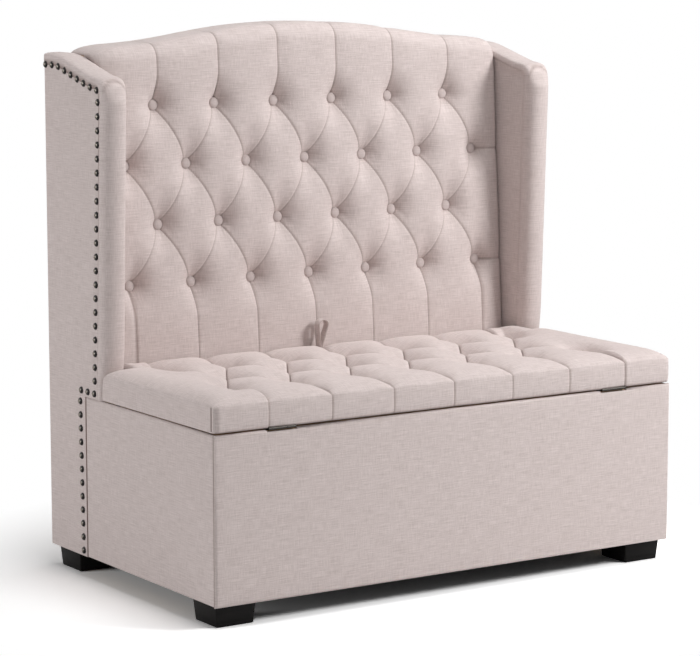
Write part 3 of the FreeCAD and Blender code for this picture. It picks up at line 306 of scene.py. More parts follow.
def lay_cloth(shape, lean=(1, 1, 1)):
    """Lays the weave on a shape: true-size UVs from the side that each face looks to."""
    layer = shape.loops.layers.uv.verify()
    shape.normal_update()
    for face in shape.faces:
        looks = [abs(part) * share for part, share in zip(face.normal, lean)]
        across, along = ((1, 2), (0, 2), (0, 1))[looks.index(max(looks))]
        for loop in face.loops:
            loop[layer].uv = (loop.vert.co[across], loop.vert.co[along])


def soft_panel(outline, thick, edge, swell=((0.015, 0.0006), (0.03, 0.0004)), shade=0.0):
    """A padded panel on an outline: a rim, a rolled edge and a slight swell.

    The outline turns so that its face looks outwards, and lies on the
    panel's inner side. The rim is marked for painted seam shade, and the
    rolled edge too, fading as far as the shade goes.
    """
    shape = bmesh.new()
    fold = shape.verts.layers.float.new("fold")
    face = shape.faces.new([shape.verts.new(point) for point in outline])
    shape.normal_update()
    out = face.normal.copy()
    raised = bmesh.ops.extrude_face_region(shape, geom=[face], use_keep_orig=True)["geom"]
    top = next(part for part in raised if isinstance(part, bmesh.types.BMFace))
    bmesh.ops.translate(shape, vec=out * (thick - edge), verts=top.verts)
    face.normal_flip()
    # Painted shade: the whole rim is darkened as a seam.
    for vert in shape.verts:
        vert[fold] = 1
    steps = 5
    turns = [math.pi / 2 * step / steps for step in range(steps + 1)]
    rings = [(edge * (math.cos(a) - math.cos(b)), edge * (math.sin(b) - math.sin(a)))
             for a, b in zip(turns, turns[1:])]
    for number, (inset, depth) in enumerate(rings + list(swell)):
        bmesh.ops.inset_region(shape, faces=[top], thickness=inset, depth=depth, use_even_offset=True)
        # Painted shade on the rolled edge, fading ring by ring.
        for vert in top.verts:
            vert[fold] = min(max(shade - 0.35 * number, 0), 1)
    bmesh.ops.recalc_face_normals(shape, faces=shape.faces)
    return shape


def mirrored(shape):
    """The same shape for the other side."""
    copy = shape.copy()
    bmesh.ops.scale(copy, vec=(-1, 1, 1), verts=copy.verts)
    bmesh.ops.reverse_faces(copy, faces=copy.faces)
    return copy


def carve(piece, low, high):
    """Cuts a block between two corners out of a piece."""
    tool = bmesh.new()
    add_block(tool, low, high)
    cutter = placed("carving", as_mesh("carving", tool))
    cut = piece.modifiers.new("carve", "BOOLEAN")
    cut.operation, cut.solver, cut.object = "DIFFERENCE", "EXACT", cutter
    bake(piece)
    bpy.data.meshes.remove(cutter.data)


def bake(piece):
    """Makes a piece's modifiers part of its mesh."""
    view = bpy.context.evaluated_depsgraph_get()
    view.update()
    piece.data = bpy.data.meshes.new_from_object(piece.evaluated_get(view))
    piece.modifiers.clear()


def add_padded(name, shape, replaced, body="bench"):
    """A padded piece of linen, laid with its weave by now."""
    piece = add_piece(name, shape, linen, body, replaced)
    return piece


def add_padded_pair(name, shape, replaced):
    """A padded piece of linen on the right, and its mirror on the left."""
    lay_cloth(shape)
    for side, half in (("left", mirrored(shape)), ("right", shape)):
        add_padded(f"{name}_{side}", half, f"{replaced}_{side}")


cover_y, HINGE_CLEAR = FRONT + COVER_THICK, 0.0032
front_outline = [(-HALF, cover_y, COVER_LOW), (HALF, cover_y, COVER_LOW),
                 (HALF, cover_y, BOX_TOP), (-HALF, cover_y, BOX_TOP)]
front_linen = soft_panel(front_outline, COVER_THICK - 0.0008, 0.006)
lay_cloth(front_linen)
front_panel = add_padded("front_linen", front_linen, "front_cover")
for side in (-1, 1):
    notch_reach = HINGE_LONG / 2 + HINGE_CLEAR
    carve(front_panel, (side * HINGE_X - notch_reach, FRONT - 0.01, BOX_TOP - NOTCH_HIGH),
          (side * HINGE_X + notch_reach, cover_y + 0.001, BOX_TOP + 0.01))

cover_x = HALF - COVER_THICK
side_outline = [(cover_x, cover_y, COVER_LOW), (cover_x, SPLIT_Y, COVER_LOW),
                (cover_x, SPLIT_Y, BOX_TOP), (cover_x, cover_y, BOX_TOP)]
side_linen = soft_panel(side_outline, COVER_THICK - 0.0008, 0.006)
# A thin strip down the front corner's groove, in full painted fold shade, stands for the groove's shadowed
# bottom.
corner_groove_shadow = add_block(side_linen, (HALF - 0.0056, cover_y - 0.0008, COVER_LOW + 0.002),
                        (HALF - 0.0016, cover_y + 0.0008, BOX_TOP - 0.002))
for vert in corner_groove_shadow:
    vert[side_linen.verts.layers.float["fold"]] = 1
add_padded_pair("side_linen", side_linen, "side_cover")

# Wing skins: one panel of linen on each outer side, from the top of the wing
# down behind the box to its bottom, laid over thin wadding on the wing's
# board and nailed down its front and along its top.
WING_TOP, TIP_Y, TIP_Z, FOOT_Y = 1.073, 0.103, 1.029, 0.128
SLOPE_REAR_Y, SLOPE_FRONT_Y, SLOPE_Z = 0.290, 0.150, 1.036
SKIN_X, FRAME_INNER_X, PAD_INNER_X = 0.550, 0.526, 0.504
WING_BENDS = {1: (0.018, 8), 2: (0.200, 6), 3: (0.200, 6)}


def bent(points, bends):
    """A line through points with an arc at each bend: its number, radius and steps."""
    line = [points[0]]
    for number in range(1, len(points) - 1):
        before, corner, after = points[number - 1:number + 2]
        if number not in bends:
            line.append(corner)
            continue
        radius, steps = bends[number]
        back, ahead = (before - corner).normalized(), (after - corner).normalized()
        half_angle = back.angle(ahead) / 2
        centre = corner + (back + ahead).normalized() * (radius / math.sin(half_angle))
        first = corner + back * (radius / math.tan(half_angle)) - centre
        last = corner + ahead * (radius / math.tan(half_angle)) - centre
        line += [centre + first.slerp(last, step / steps).normalized() * radius
                 for step in range(steps + 1)]
    return line + [points[-1]]


wing_edge = bent([Vector((0, FOOT_Y, BOX_TOP)), Vector((0, TIP_Y, TIP_Z)),
                  Vector((0, SLOPE_FRONT_Y, SLOPE_Z)), Vector((0, SLOPE_REAR_Y, WING_TOP)),
                  Vector((0, REAR, WING_TOP))], WING_BENDS)
WRAP_TOP, WRAP_FRONT = 0.013, 0.001


def wrap(height):
    """How far down the wing's outer side the roll's cloth reaches, at a height of its edge."""
    return WRAP_FRONT + (WRAP_TOP - WRAP_FRONT) * min(max((height - TIP_Z + 0.02) / 0.02, 0), 1)


skin_outline = []
for before, point, after in zip(wing_edge[:1] + wing_edge, wing_edge, wing_edge[1:] + wing_edge[-1:]):
    ahead = (after - before).normalized()
    inner = point - Vector((0, -ahead.z, ahead.y)) * wrap(point.z)
    skin_outline.insert(0, Vector((SKIN_X, inner.y, max(inner.z, BOX_TOP))))
skin_outline += [Vector((SKIN_X, y, z)) for y, z in (
    (SPLIT_Y, BOX_TOP), (SPLIT_Y, COVER_LOW), (REAR, COVER_LOW))]
# The skin's rolled edge carries painted shade, a dark seam line beside the nails; it is taken off again
# along the rear edge.
skin_linen = soft_panel(skin_outline, HALF - SKIN_X - 0.0004, 0.002, swell=(), shade=1.1)
for vert in skin_linen.verts:
    if vert.co.y > REAR - 0.01:
        vert[skin_linen.verts.layers.float["fold"]] = 0
add_padded_pair("wing_linen", skin_linen, "wing_skin")

# Wing pads: foam under linen on the inner side of each wing, slightly
# crowned, from the back cushion to the roll at the wing's front edge.
PAD_LOW, PAD_FRONT_LOW, PAD_FRONT_HIGH = 0.3865, 0.1279, 0.1038
PAD_REAR_LOW, PAD_REAR_HIGH, PAD_TIP_HIGH = 0.2300, 0.2734, 1.0125
PAD_THICK, PAD_CROWN, PAD_DIP, PAD_SOFT, PAD_COLUMNS, PAD_ROWS = 0.0218, 0.0022, 0.0024, 0.005, 30, 60
PAD_TIP_ROUND, PAD_TIP_REACH, PAD_TIP_LONG, PAD_TIP_RISE = 0.016, 0.018, 0.046, 0.003
PAD_SLOPE, PAD_SAG = 0.264, 0.0012


def mapped_grid(columns, rows, place):
    """A grid whose corners are moved to places given by their column and row."""
    shape = bmesh.new()
    fold = shape.verts.layers.float.new("fold")
    bmesh.ops.create_grid(shape, x_segments=columns, y_segments=rows, size=1)
    for vert in shape.verts:
        column = round((vert.co.x + 1) / 2 * columns)
        row = round((vert.co.y + 1) / 2 * rows)
        vert.co, vert[fold] = place(column, row)
    return shape


def closed(shape, reach=0.00001):
    """Joins the meeting edges of a shape and fills its open ends."""
    bmesh.ops.remove_doubles(shape, verts=shape.verts, dist=reach)
    bmesh.ops.holes_fill(shape, edges=[e for e in shape.edges if e.is_boundary], sides=0)
    bmesh.ops.recalc_face_normals(shape, faces=shape.faces)
    return shape


def rise(distance):
    """How a pad recovers beyond a stitch, from 0 to 1."""
    return math.sin(math.pi / 2 * min(max(distance, 0), 1))


def pad_edge(distance, radius):
    """How far a padded face has come up at a distance from its edge, from 0 to 1."""
    return math.sqrt(max(1 - (1 - min(distance / radius, 1)) ** 2, 0))


def pad_place(column, row):
    """A point of the pad by its column from the front edge and its row from the lid."""
    across = min(max(column - 1, 0), PAD_COLUMNS) / PAD_COLUMNS
    along = min(max(row - 1, 0), PAD_ROWS) / PAD_ROWS
    across, along = across ** 1.3, math.sin(math.pi / 2 * along)
    front = PAD_FRONT_LOW + (PAD_FRONT_HIGH - PAD_FRONT_LOW) * along
    rear = PAD_REAR_LOW + (PAD_REAR_HIGH - PAD_REAR_LOW) * along
    place_y = front + (rear - front) * across
    top_y = PAD_FRONT_HIGH + (PAD_REAR_HIGH - PAD_FRONT_HIGH) * across
    behind = top_y - PAD_FRONT_HIGH
    slope = PAD_TIP_RISE * min(behind / PAD_TIP_LONG, 1) + PAD_SLOPE * max(behind - PAD_TIP_LONG, 0)
    round_tip = PAD_TIP_ROUND * pad_edge(behind, PAD_TIP_REACH)
    top = PAD_TIP_HIGH + round_tip + slope - PAD_SAG * rise(behind / 0.12)
    height = PAD_LOW + (top - PAD_LOW) * along
    swell = pad_edge(height - PAD_LOW, PAD_SOFT) * pad_edge(rear - place_y, PAD_SOFT)
    dip = PAD_DIP * rise(min(place_y - front, top - height) / 0.022)
    crown = PAD_CROWN * math.sin(math.pi * across) * math.sin(math.pi * along) ** 0.5
    on_rim = column in (0, PAD_COLUMNS + 2) or row in (0, PAD_ROWS + 2)
    out = 0 if on_rim else (PAD_THICK - dip + crown) * (0.3 + 0.7 * swell)
    return Vector((FRAME_INNER_X - out, place_y, height)), 0


pad_linen = closed(mapped_grid(PAD_COLUMNS + 2, PAD_ROWS + 2, pad_place))
add_padded_pair("wing_pad_linen", pad_linen, "wing_pad")

# Wing rolls: a padded strip of linen over the front and top edge of each
# wing, slimmer along the top and beside the lid. A curved seam at the wing's
# tip joins the front length to the top length.
ROLL_PROUD, ROLL_TOP_PROUD, ROLL_FOOT_PROUD, ROLL_STEP, ROLL_BACK = 0.029, 0.0115, 0.0165, 0.004, 0.006
SEAM_BOW, SEAM_WIDE, SEAM_IN = 4, 1.2, 0.0013


def evenly(line, step):
    """Points at equal steps along a line, with the direction at each."""
    lengths = [(b - a).length for a, b in zip(line, line[1:])]
    count = round(sum(lengths) / step)
    stations = []
    for number in range(count + 1):
        left = sum(lengths) * number / count
        piece = 0
        while piece < len(lengths) - 1 and left > lengths[piece]:
            left -= lengths[piece]
            piece += 1
        ahead = (line[piece + 1] - line[piece]).normalized()
        stations.append((line[piece] + ahead * min(left, lengths[piece]), ahead))
    return stations


roll_line = evenly([Vector((0, p.y, p.z)) for p in wing_edge], ROLL_STEP)
wing_tip = Vector((0, TIP_Y, TIP_Z))
tip_number = min(range(len(roll_line)), key=lambda number: (roll_line[number][0] - wing_tip).length)
ROLL_ROUND = 18
roll_middle, roll_half = (PAD_INNER_X + HALF) / 2, (HALF - PAD_INNER_X) / 2


def roll_place(column, row):
    """A point of the roll: along the wing's edge, and round the strip's section."""
    point, ahead = roll_line[column]
    before, after = roll_line[max(column - 3, 0)][1], roll_line[min(column + 3, len(roll_line) - 1)][1]
    ahead = (before + ahead + after).normalized()
    outward = Vector((0, -ahead.z, ahead.y))
    on_top = min(max((point.z - TIP_Z + 0.035) / 0.040, 0), 1)
    off_lid = rise((point.z - BOX_TOP - 0.03) / 0.1)
    proud_most = ROLL_FOOT_PROUD + (ROLL_PROUD - ROLL_FOOT_PROUD) * off_lid
    proud_most += (ROLL_TOP_PROUD - proud_most) * on_top
    turn = math.pi * (min(row, ROLL_ROUND) / ROLL_ROUND - 0.5)
    proud = proud_most * max(math.cos(turn), 0) ** (0.84 - 0.5 * on_top)
    across = math.copysign(abs(math.sin(turn)) ** 0.92, turn)
    if row > ROLL_ROUND:
        across = (1, 0.7, -1, -1)[row - ROLL_ROUND - 1]
        proud = (-wrap(point.z), -wrap(point.z), -ROLL_BACK, 0)[row - ROLL_ROUND - 1]
    seam = 0
    if row <= ROLL_ROUND:
        off_seam = abs(column - tip_number - 0.5 + SEAM_BOW * across ** 2)
        seam = max(0, 1 - off_seam / SEAM_WIDE) * (1 - across ** 8)
    edge_seam = 1 if row in (ROLL_ROUND + 1, ROLL_ROUND + 2) else 0
    place = point + outward * (proud - SEAM_IN * seam) + Vector((roll_middle + roll_half * across, 0, 0))
    place.z = max(place.z, BOX_TOP + 0.0006)
    # The tip's seam and the wrapped edge beside the skin are marked for painted shade.
    return place, max(0.6 * seam, edge_seam)


roll_linen = closed(mapped_grid(len(roll_line) - 1, ROLL_ROUND + 4, roll_place))
add_padded_pair("wing_roll_linen", roll_linen, "wing_roll")

# Rear cover: a plain panel of linen over the whole back, arched along its
# top, and stapled under the bottom rail. The cushion's flap comes down over
# its top edge.
CREST_TOP, CREST_SHOULDER, CREST_HALF = 1.139, 1.097, 0.510


def crest(across):
    """Height of the bowed crest, one arc over the middle and its mirror at each shoulder."""
    turn, half_rise = CREST_HALF / 2, (CREST_TOP - CREST_SHOULDER) / 2
    radius = (turn ** 2 + half_rise ** 2) / (2 * half_rise)
    out = min(abs(across), 2 * turn)
    if out < turn:
        return CREST_TOP - radius + math.sqrt(radius ** 2 - out ** 2)
    return CREST_SHOULDER + radius - math.sqrt(radius ** 2 - (2 * turn - out) ** 2)


REAR_PLANE, FLAP, REAR_TOP = 0.337, 0.0463, 1.0695
rear_side = [(SKIN_X, COVER_LOW), (SKIN_X, REAR_TOP), (0.5045, REAR_TOP)]
arch = [(0.500 * (number / 20 - 1), crest(0.500 * (1 - number / 20)) - FLAP) for number in range(41)]
rear_outline = [Vector((x, REAR_PLANE, z)) for x, z in
                [(-x, z) for x, z in rear_side] + arch + list(reversed(rear_side))]
rear_linen = soft_panel(rear_outline, REAR - REAR_PLANE - 0.001, 0.004, swell=())
lay_cloth(rear_linen)
add_padded("rear_linen", rear_linen, "rear_cover")

# Back cushion: deep foam under linen, pulled in by 26 stitched buttons. The
# cloth is folded into diamonds between them, into upright pleats above and
# below, and rolls over the crest to a flap at the rear.
BACK_PITCH, ROW_PITCH, TOP_ROW_Z, BACK_EDGE_X = 0.14705, 0.1243, 0.9743, 0.5036
LOW_ROW_Z = TOP_ROW_Z - 3 * ROW_PITCH
BACK_PLUMP, BACK_PLEAT, BACK_SINK, BACK_GROOVE = 0.034, 0.88, 0.012, 0.0011
CREST_ROUND, CREST_ARRIS, FLAP_LOW, RAIL_TOP = 0.036, 0.012, 0.046, 0.018
BUTTON_FLAT, BUTTON_SOFT = 0.0098, 0.062
GATHER_OUT, GATHER_WIDE, GATHER_HIGH = 0.017, 0.012, 0.014
BACK_CELLS, BACK_FLAT, BACK_SIDE = 32, 192, 12
back_last = BACK_FLAT + BACK_SIDE


def tuft_plane(height):
    """Where the back's buttons lie, at a height."""
    return 0.234 + 0.0638 * (height - TOP_ROW_Z)


def eased(reach, flat, soft):
    """The share by which a distance from a stitch shrinks, so that it lies flat under its button."""
    if reach >= soft:
        return 1
    return max(reach - flat, 0) / (soft - flat) * soft / max(reach, 0.0001)


def puff(one, two, pleat, steep, crisp):
    """A diamond's stand from its two distances off the folds, each from 0 to 1."""
    along_fold = math.sqrt(one ** 2 + two ** 2 - (one * two) ** 2)
    return pleat * along_fold ** steep + (1 - pleat) * (one * two) ** crisp


def off_folds(across, along, last_row, pitch, row_pitch, flat, soft):
    """How far a place is off both slanting folds, past the rows and beside them.

    Then come its distance from the nearest stitch and the way there. The
    first four shrink near a stitch, where the cloth is held flat.
    """
    past, out = max(-along, along - last_row, 0), max(abs(across) - 3, 0)
    span, inner = min(max(along, 0), last_row), min(max(across, -3), 3)
    one, two = inner + span - round(inner + span), inner - span - round(inner - span)
    side, up = (one + two) / 2, (one - two) / 2
    reach = math.hypot((abs(side) + out) * pitch, (abs(up) + past) * 2 * row_pitch)
    share = eased(reach, flat, soft)
    one, two = abs(math.sin(math.pi * one * share)), abs(math.sin(math.pi * two * share))
    return one, two, past * share, out * share, reach, side, up


def back_stand(across, along):
    """The pad's stand and its two distances from the folds, in pitches from the low row's middle."""
    one, two, past, out, reach, side, up = off_folds(
        across, along, 1.5, BACK_PITCH, ROW_PITCH, BUTTON_FLAT, BUTTON_SOFT)
    if past and out:
        one = two = 1 if along > 0 else math.sqrt(rise(2 * past) * rise(2 * out))
    away = max(rise(past * 3.2), rise(out * 3.2))
    stand = puff(one, two, BACK_PLEAT, 0.70, 0.5)
    stand += (1 - stand) * away * (BACK_PLEAT + (1 - BACK_PLEAT) * min(one, two) ** 0.8)
    turn = 9 * math.atan2(up, side + 0.0001) + 31 * min(max(across, -3), 3)
    gather = math.exp(-((reach - GATHER_OUT) / GATHER_WIDE) ** 2) * math.sin(turn)
    return stand + GATHER_HIGH * gather * (1 - away), one, two


def back_place(column, row):
    """A point of the back cushion by its column across and its row round the section."""
    number = column - back_last
    across = number * BACK_PITCH / (2 * BACK_CELLS)
    dropped = turned_in = 0
    if abs(number) > BACK_FLAT:
        flat_x = BACK_FLAT * BACK_PITCH / (2 * BACK_CELLS)
        turn = math.pi / 2 * (abs(number) - BACK_FLAT) / BACK_SIDE
        across = math.copysign(flat_x + (BACK_EDGE_X - flat_x) * math.sin(turn), number)
        dropped, turned_in = 0.017 * (1 - math.cos(turn)), 0.020 * (1 - math.cos(turn))
    kind, amount = back_rows[row]
    top = crest(across) - dropped
    arc_low = top - CREST_ROUND
    steep = math.pi / 2 * amount
    if kind == "front":
        height = amount
    elif kind == "rise":
        height = TOP_ROW_Z + (arc_low - TOP_ROW_Z) * amount
    else:
        height = arc_low
    stand, one, two = back_stand(across / BACK_PITCH, (height - LOW_ROW_Z) / (2 * ROW_PITCH))
    # Painted shade along the pleat lines, stronger on one slant of fold than the other; the marked folds
    # also sink by the groove.
    fold = 0.4 if min(one, two) < 0.01 else 0
    if one < 0.01 and abs(across) < 3.01 * BACK_PITCH:
        fold = 0.7
    groove = BACK_GROOVE if fold else 0
    face = tuft_plane(height) - BACK_PLUMP * stand + turned_in
    if kind in ("front", "rise"):
        return Vector((across, max(face + groove, 0.1705), height)), fold
    sink, start, rear = (1 - stand) * BACK_SINK, face + CREST_ROUND, REAR - turned_in / 4
    if kind == "round":
        return Vector((across, start - CREST_ROUND * math.cos(steep) + (1 - amount) * groove,
                       arc_low + (CREST_ROUND - sink) * math.sin(steep) - groove * amount)), fold
    if kind == "top":
        return Vector((across, start + (rear - CREST_ARRIS - start) * amount,
                       top - (sink + groove) * (1 - amount))), fold * (1 - amount)
    if kind == "turn":
        return Vector((across, rear - CREST_ARRIS + CREST_ARRIS * math.sin(steep),
                       top - CREST_ARRIS + CREST_ARRIS * math.cos(steep))), 0
    flap, rail = crest(across) - FLAP_LOW, crest(across) - RAIL_TOP
    hidden = ((rear, flap), (REAR_PLANE, flap), (REAR_PLANE, rail), (0.285, rail), (0.2305, 0.3863))
    return Vector((across, *hidden[amount])), 0


fine = ROW_PITCH / BACK_CELLS
rows_below = int((LOW_ROW_Z - 0.437) / fine)
back_rows = [("front", 0.3863 + 0.0125 * step) for step in range(4)]
back_rows += [("front", LOW_ROW_Z - fine * step) for step in range(rows_below, 0, -1)]
back_rows += [("front", LOW_ROW_Z + fine * step) for step in range(3 * BACK_CELLS + 1)]
back_rows += [("rise", step / 22) for step in range(1, 23)]
back_rows += [("round", step / 12) for step in range(1, 13)]
back_rows += [("top", step / 6) for step in range(1, 7)]
back_rows += [("turn", step / 3) for step in range(1, 4)]
back_rows += [("hidden", step) for step in range(5)]
back_rows += [back_rows[0]]


def part_folds(shape):
    """Splits the four-sided faces that a slanting fold crosses along that fold."""
    fold = shape.verts.layers.float["fold"]
    for face in list(shape.faces):
        corners = list(face.verts)
        if len(corners) != 4:
            continue
        for first, second in ((0, 2), (1, 3)):
            if corners[first][fold] > 0.3 and corners[second][fold] > 0.3:
                bmesh.utils.face_split(face, corners[first], corners[second])
                break


FILL_PRESSURE, FILL_MOST, FILL_FRAMES = 4, 0.006, 20


def filled(columns, rows, place, first, step, held):
    """How a cushion's cloth moves as its filling swells: moves by column and row.

    A coarse twin of the cushion's grid is held at its folds, stitches and
    hidden rows, and blown up as cloth.
    """
    spots = {}

    def twin_place(column, row):
        point, fold = place(first[0] + column * step, first[1] + row * step)
        spots[tuple(point)] = (column, row)
        return point, 1 if fold or held(first[0] + column * step, first[1] + row * step) else 0

    shape = closed(mapped_grid((columns - first[0]) // step, (rows - first[1]) // step, twin_place))
    fold = shape.verts.layers.float["fold"]
    pinned = [number for number, vert in enumerate(shape.verts) if vert[fold] > 0.5]
    mesh = as_mesh("twin", shape)
    twin = placed("twin", mesh)
    twin.vertex_groups.new(name="held").add(pinned, 1, "REPLACE")
    filling = twin.vertex_groups.new(name="filling")
    for number, vert in enumerate(mesh.vertices):
        filling.add([number], 0.7 + 0.3 * noise.noise(vert.co * 11), "REPLACE")
    cloth = twin.modifiers.new("cloth", "CLOTH")
    cloth.settings.vertex_group_mass = "held"
    cloth.settings.vertex_group_pressure = "filling"
    cloth.settings.use_pressure = True
    cloth.settings.uniform_pressure_force = FILL_PRESSURE
    cloth.settings.effector_weights.gravity = 0
    cloth.settings.quality = 4
    cloth.settings.tension_stiffness = cloth.settings.compression_stiffness = 8
    cloth.point_cache.frame_start, cloth.point_cache.frame_end = 1, FILL_FRAMES
    for frame_number in range(1, FILL_FRAMES + 1):
        bpy.context.scene.frame_set(frame_number)
    settled = twin.evaluated_get(bpy.context.evaluated_depsgraph_get()).data
    moves = {}
    for before, after in zip(mesh.vertices, settled.vertices):
        move = after.co - before.co
        if tuple(before.co) in spots:
            moves[spots[tuple(before.co)]] = move * (FILL_MOST / (FILL_MOST + move.length))
    bpy.data.meshes.remove(mesh)
    bpy.context.scene.frame_set(1)
    return moves


def eased_weights(place):
    """The four nearest whole numbers to a place on a line and their shares in a smooth curve."""
    base = math.floor(place)
    part = place - base
    shares = ((1 - part) ** 3, 3 * part ** 3 - 6 * part ** 2 + 4,
              -3 * part ** 3 + 3 * part ** 2 + 3 * part + 1, part ** 3)
    return [(base - 1 + number, share / 6) for number, share in enumerate(shares)]


def swollen_grid(columns, rows, place, first, step, held):
    """A cushion's grid with the moves of its simulated cloth spread over it."""
    moves = filled(columns, rows, place, first, step, held)

    def moved_place(column, row):
        point, fold = place(column, row)
        if moves and not held(column, row):
            for across, share in eased_weights((column - first[0]) / step):
                for along, other_share in eased_weights((row - first[1]) / step):
                    if (across, along) in moves:
                        point += moves[across, along] * (share * other_share)
        return point, fold

    return mapped_grid(columns, rows, moved_place)


def back_held(column, row):
    """Whether a point of the back cushion lies behind the crest or in its squared ends."""
    return back_rows[row][0] in ("turn", "hidden") or abs(column - back_last) > BACK_FLAT or row < 4


back_linen = closed(swollen_grid(2 * back_last, len(back_rows) - 1, back_place,
                                 (back_last % 4, (rows_below + 4) % 4), 4, back_held))
part_folds(back_linen)
lay_cloth(back_linen, (0.2, 1.6, 1))
add_padded("tufted_back", back_linen, "back_cushion")

# Covered buttons: 24 mm domes in the same linen, gathered round the rim, on
# twine that is pulled through the cushion and tied behind the back board. Their
# linen is painted a shade darker for the pits they sit in, and each rim is
# painted in fold shade where it meets the cushion.
BUTTON_RADIUS, BUTTON_HIGH = 0.0117, 0.0072
# The same linen painted darker as shade for the buttons in their pits.
button_linen = linen_finish("button_linen", colour(214, 201, 198), colour(188, 174, 171), 0.8, 0.0004)


def spun(profile, steps):
    """A round shape from a profile of radius and height, turned about Z."""
    shape = bmesh.new()
    shape.verts.layers.float.new("fold")
    points = [shape.verts.new((radius, 0, height)) for radius, height in profile]
    edges = [shape.edges.new(pair) for pair in zip(points, points[1:])]
    bmesh.ops.spin(shape, geom=points + edges, cent=(0, 0, 0), axis=(0, 0, 1), angle=2 * math.pi,
                   steps=steps, use_merge=True)
    bmesh.ops.remove_doubles(shape, verts=shape.verts, dist=0.00001)
    bmesh.ops.recalc_face_normals(shape, faces=shape.faces)
    return shape


def repeated(shape, places):
    """Copies of a shape, one at each place, in one mesh."""
    single = as_mesh("single", shape)
    group = bmesh.new()
    for place in places:
        start = len(group.verts)
        group.from_mesh(single)
        group.verts.ensure_lookup_table()
        bmesh.ops.transform(group, matrix=place, verts=group.verts[start:])
    bpy.data.meshes.remove(single)
    return group


button_profile = [(0, 0), (0.0092, 0), (0.0111, 0.0006), (BUTTON_RADIUS, 0.0018), (0.0113, 0.0034),
                  (0.0098, 0.0052), (0.0066, 0.0066), (0.0033, 0.0071), (0, BUTTON_HIGH)]
button_places = []
for row in range(4):
    height = TOP_ROW_Z - row * ROW_PITCH
    count = 6 + row % 2
    for number in range(count):
        stitch = Vector(((number - (count - 1) / 2) * BACK_PITCH, tuft_plane(height) - 0.0003, height))
        button_places.append(Matrix.Translation(stitch) @ Matrix.Rotation(math.radians(90 - 3.65), 4, "X"))
button_shape = spun(button_profile, 18)
# Painted shade on the ring where each button sinks into the cushion.
for vert in button_shape.verts:
    vert[button_shape.verts.layers.float["fold"]] = 1 if vert.co.z < 0.001 else 0
buttons = repeated(button_shape, button_places)
for vert in buttons.verts:
    vert.co += Vector((0, 0.0004, 0)) * noise.noise(vert.co * 300)
lay_cloth(buttons, (0.3, 2, 0.3))
button_piece = add_piece("covered_buttons", buttons, button_linen, "bench", "back_buttons")

# Nailheads: domed steel tacks, 15 mm across, with a near-black bronze finish
# worn bright on the crown, where the pale crown is also a painted highlight.
# They follow each wing's top and front edge and the seam behind the box.
NAIL_RADIUS, NAIL_HIGH, NAIL_PITCH, NAIL_IN = 0.0075, 0.0048, 0.0286, 0.013
bronze, bronze_tree, bronze_shader = new_finish("aged_bronze")
bronze_place = add_node(bronze_tree, "TexCoord").outputs["Object"]
bronze_cloud = stretched_noise(bronze_tree, bronze_place, (420, 420, 420), 3)
bronze_dark = blended(bronze_tree, bronze_cloud, colour(15, 12, 10), colour(30, 24, 20))
crown_wear_and_highlight = add_node(bronze_tree, "Attribute", {"attribute_name": "fold"}).outputs["Fac"]
# Painted highlight and wear: the marked crown turns pale and metallic.
bronze_tree.links.new(blended(bronze_tree, crown_wear_and_highlight, bronze_dark, colour(204, 192, 176)),
                      bronze_shader.inputs["Base Color"])
bronze_tree.links.new(computed(bronze_tree, "MULTIPLY_ADD", crown_wear_and_highlight, 0.6, 0.35),
                      bronze_shader.inputs["Metallic"])
bronze_tree.links.new(computed(bronze_tree, "MULTIPLY_ADD", bronze_cloud, 0.12, 0.14),
                      bronze_shader.inputs["Roughness"])

nail_stops = [
    (REAR - NAIL_RADIUS, WING_TOP - NAIL_IN), (SLOPE_REAR_Y, WING_TOP - NAIL_IN),
    (SLOPE_FRONT_Y, SLOPE_Z - NAIL_IN), (TIP_Y + 0.006, TIP_Z - NAIL_IN),
    (FOOT_Y + 0.012, BOX_TOP + NAIL_IN), (SPLIT_Y + 0.020, BOX_TOP + NAIL_IN),
    (SPLIT_Y + NAIL_IN, COVER_LOW + NAIL_IN),
]
nail_line = evenly([Vector((0, y, z)) for y, z in nail_stops], NAIL_PITCH)
nail_profile = [(0, 0), (NAIL_RADIUS, 0), (0.0074, 0.0010), (0.0066, 0.0026), (0.0046, 0.0040),
                (0.0023, 0.0046), (0, NAIL_HIGH)]


def rubbed_and_highlit(shape):
    """Marks a tack's crown, rubbed bright and painted pale as a highlight."""
    crown = shape.verts.layers.float["fold"]
    for vert in shape.verts:
        vert[crown] = rise((vert.co.z - 0.0043) / 0.0008)
    return shape


for side, facing in (("left", -1), ("right", 1)):
    turn = Matrix.Rotation(facing * math.pi / 2, 4, "Y")
    places = [Matrix.Translation((facing * (HALF - 0.0003), point.y, point.z)) @ turn
              for point, _ in nail_line]
    nails = add_piece(f"nail_row_{side}", repeated(rubbed_and_highlit(spun(nail_profile, 12)), places), bronze,
                      "bench", f"nailheads_{side}")

# Lid lining: black cloth stapled under the lid board, inside the box's rim.
lining = clouded_finish("black_lining", (700, 1100, 300), 2, (24, 24, 25), (46, 46, 47), 0.9,
                        bump=(0.0004,))
finish_node("lid_lining", lining)

